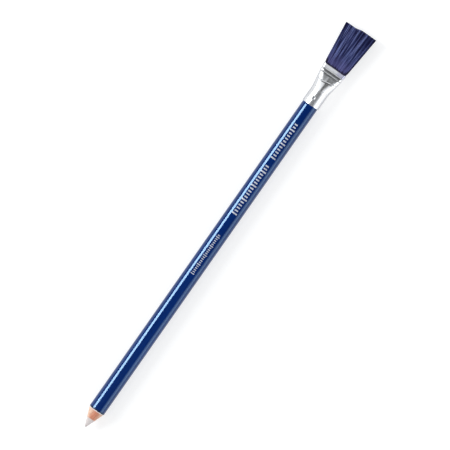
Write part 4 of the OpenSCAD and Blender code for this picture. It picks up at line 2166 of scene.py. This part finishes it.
@dataclass
class Studio:
    """Floor, lights, backdrop and camera.

    The backdrop's ramps run over a direction's x towards the brush and the point, its y towards
    the sides and its z towards the top.

    Attributes:
        layout: Places and radii.
        tilt: Angle by which the pencil leans to the right in the picture, in degrees.
        pitch: Angle of the camera from overhead towards the brush, in degrees.
        camera_height: Height of the camera over the pencil's axis.
        picture_width: Width of the picture at the pencil.
        aim: Shift of the picture's middle to the right and up from the pencil's middle.
        sensor: Width of the camera's sensor in millimetres.
        key_angle: Angle of the key light from overhead towards +Y, in degrees.
        key_distance: Distance of the key light.
        key_span: Angle that the key light spans across the pencil, in degrees.
        key_length: Length of the key light along the pencil.
        key_shift: Shift of the key light towards the brush.
        key_radiance: Brightness of the key light.
        key_tint: Colour of the key light.
        floor_radius: Radius of the floor.
        floor_tints: Colours between which the floor is mottled.
        floor_gap: Gap between the floor and the pencil.
        floor_glow: Brightness that the floor shows to the camera.
        floor_share: Share of that brightness against the floor's own shading.
        right_glow: Ramp of the light from the right.
        right_fade: Ramp of its fade along the pencil.
        left_glow: Ramp of the light from the left.
        point_glow: Ramp of the light from past the point.
        point_fade: Ramp of its fade to the sides.
        point_end: Ramp of its loss close to the horizon.
        brush_glow: Ramp with which the light from past the brush sets in.
        brush_end: Ramp with which it ends.
        gap_shift: Ramp of the shift to the right of the dark gap in that light.
        gap_half: Ramp of the gap's half width.
        gap_edge: Start and end of the gap's soft edge.
        rest_glow: Light from everywhere.
        soft_tint: Colour of all this light.
        white_rim: Ramp over the horizon within which bright surfaces mirror white.
    """

    layout: Layout
    tilt: float = 34.97
    pitch: float = 3.0
    camera_height: float = 2.0
    picture_width: float = 193.95 * MM
    aim: tuple[float, float] = (0.69 * MM, 1.78 * MM)
    sensor: float = 36.0
    key_angle: float = 54.0
    key_distance: float = 4.0
    key_span: float = 27.0
    key_length: float = 0.84
    key_shift: float = -0.21
    key_radiance: float = 20.0
    key_tint: Colour = (0.95, 0.98, 1.0)
    floor_radius: float = 3.0
    floor_tints: tuple[Colour, Colour] = ((0.86, 0.86, 0.86), (0.90, 0.90, 0.90))
    floor_glow: float = 1.35
    floor_share: float = 0.5
    floor_gap: float = 0.02 * MM
    right_glow: Ramp = (0.66, 1.0, 0.0, 3.3)
    right_fade: Ramp = (0.16, 0.32, 1.0, 0.08)
    left_glow: Ramp = (0.90, 1.0, 0.0, 0.08)
    point_glow: Ramp = (-0.36, -0.04, 1.25, 0.0)
    point_fade: Ramp = (0.30, 0.60, 1.0, 0.25)
    point_end: Ramp = (-0.85, -0.50, 0.3, 1.0)
    brush_glow: Ramp = (0.10, 0.34, 0.0, 1.4)
    brush_end: Ramp = (0.58, 0.78, 1.0, 0.0)
    gap_shift: Ramp = (0.12, 0.32, 0.09, 0.17)
    gap_half: Ramp = (0.12, 0.32, 0.0, 0.17)
    gap_edge: tuple[float, float] = (0.05, 0.22)
    rest_glow: float = 0.06
    soft_tint: Colour = (0.95, 0.975, 1.0)
    white_rim: Ramp = (0.0, 0.10, 1.0, 0.0)

    def camera(self) -> bpy.types.Object:
        """Places the camera nearly straight over the pencil.

        Returns:
            The camera.
        """
        a, lean = math.radians(self.tilt), math.radians(self.pitch)
        along, across = Vector((math.cos(lean), 0.0, -math.sin(lean))), Vector((0.0, 1.0, 0.0))
        right = along * math.sin(a) - across * math.cos(a)
        up = along * math.cos(a) + across * math.sin(a)
        target = Vector((0.0, 0.0, self.layout.axis_z)) + right * self.aim[0] + up * self.aim[1]
        data = bpy.data.cameras.new("camera")
        data.sensor_width = self.sensor
        data.lens = self.sensor * self.camera_height / self.picture_width
        data.clip_start, data.clip_end = 0.01, 20.0
        camera = bpy.data.objects.new("camera", data)
        back = right.cross(up)
        turn = Matrix((right, up, back)).transposed().to_4x4()
        camera.matrix_world = Matrix.Translation(target + back * self.camera_height) @ turn
        bpy.context.scene.collection.objects.link(camera)
        bpy.context.scene.camera = camera
        return camera

    def key_light(self) -> bpy.types.Object:
        """Places the soft box that draws the bright line along the barrel.

        Returns:
            The light.
        """
        a = math.radians(self.key_angle)
        way = Vector((0.0, math.sin(a), math.cos(a)))
        data = bpy.data.lights.new("key_light", "AREA")
        data.shape = "RECTANGLE"
        data.size = self.key_length
        data.size_y = 2.0 * self.key_distance * math.tan(math.radians(self.key_span / 2))
        data.energy = self.key_radiance * math.pi * data.size * data.size_y
        data.color = self.key_tint
        light = bpy.data.objects.new("key_light", data)
        side = Vector((1.0, 0.0, 0.0))
        turn = Matrix((side, way.cross(side), way)).transposed().to_4x4()
        place = way * self.key_distance + side * self.key_shift
        light.matrix_world = Matrix.Translation(place) @ turn
        bpy.context.scene.collection.objects.link(light)
        return light

    def floor(self) -> bpy.types.Object:
        """Makes the pale floor, which stays white to the camera and keeps the shadow.

        Returns:
            The floor.
        """
        angles = np.radians(np.arange(0.0, 360.0, 5.0))
        rim = np.stack([np.cos(angles), np.sin(angles), 0.0 * angles], axis=-1)
        rows = rim[None] * np.array([[[self.floor_radius]], [[0.1 * self.floor_radius]]])
        skin = Skin()
        ids = skin.grid(rows - np.array([0.0, 0.0, self.floor_gap]))
        skin.lid(ids[-1])
        floor = skin.build("floor")
        bpy.context.scene.collection.objects.link(floor)
        material = bpy.data.materials.new("pale_floor")
        material.use_nodes = True
        bench = PaintBench(material.node_tree)
        bench.tree.nodes.remove(bench.tree.nodes["Principled BSDF"])
        grain = bench.grain((0.05, 0.05, 0.05), 3.0)
        paper = bench.blend(grain, *self.floor_tints)
        matt = bench.get("ShaderNodeBsdfDiffuse", {"Color": paper})
        glow = bench.get("ShaderNodeEmission", {"Strength": self.floor_glow})
        share = bench.ray("Camera", "Glossy", "Transmission") * self.floor_share
        mixed = bench.get("ShaderNodeMixShader", {0: share, 1: matt, 2: glow})
        bench.feed(bench.tree.nodes["Material Output"], {"Surface": mixed})
        floor.data.materials.append(material)
        return floor

    def backdrop(self) -> bpy.types.World:
        """Makes the world, white to the camera, with soft light from the right and the front.

        Returns:
            The world.
        """
        world = bpy.data.worlds.new("backdrop")
        world.use_nodes = True
        bench = Bench(world.node_tree)
        x, y, z = bench.parts(bench.get("ShaderNodeTexCoord", key="Generated"))
        right = bench.ease(y * -1.0, *self.right_glow) * bench.ease(abs(x), *self.right_fade)
        left = bench.ease(y, *self.left_glow)
        front = bench.ease(x, *self.point_glow) * bench.ease(abs(y), *self.point_fade)
        front = front * bench.ease(x, *self.point_end)
        band = bench.ease(x, *self.brush_glow) * bench.ease(x, *self.brush_end)
        beyond = abs(y + bench.ease(x, *self.gap_shift)) - bench.ease(x, *self.gap_half)
        band = band * bench.ease(beyond, *self.gap_edge)
        glow = right + front + (band + left) + self.rest_glow
        soft = bench.get("ShaderNodeBackground", {"Color": self.soft_tint, "Strength": glow})
        white = bench.get("ShaderNodeBackground", {"Color": (1.0, 1.0, 1.0), "Strength": 1.0})
        mirrored = bench.ray("Glossy", "Transmission") * bench.ease(z, *self.white_rim)
        seen = bench.math("MAXIMUM", bench.ray("Camera"), mirrored)
        mixed = bench.get("ShaderNodeMixShader", {0: seen, 1: soft, 2: white})
        bench.feed(bench.tree.nodes["World Output"], {"Surface": mixed})
        bpy.context.scene.world = world
        return world

    def build(self) -> None:
        """Makes everything round the pencil."""
        bpy.context.scene.view_settings.view_transform = "Standard"
        for thing in (self.camera(), self.key_light(), self.floor(), self.backdrop()):
            LOG.info("studio: %s", thing.name)


def main() -> None:
    """Builds the studio and each sub-assembly, and reports every piece."""
    logging.basicConfig(level=logging.INFO, format="%(message)s")
    layout = Layout.read()
    ferrule = BrushFerrule(layout)
    Studio(layout).build()
    for assembly in (EraserRod(layout), WoodCasing(layout), PaintCoats(layout),
                     FoilScales(layout), ferrule, RootCement(ferrule),
                     BristleTuft(layout, ferrule)):
        for piece in assembly.build():
            LOG.info("%s: %s, %d faces", type(assembly).__name__, piece.name,
                     len(piece.data.polygons))


if __name__ == "__main__":
    main()
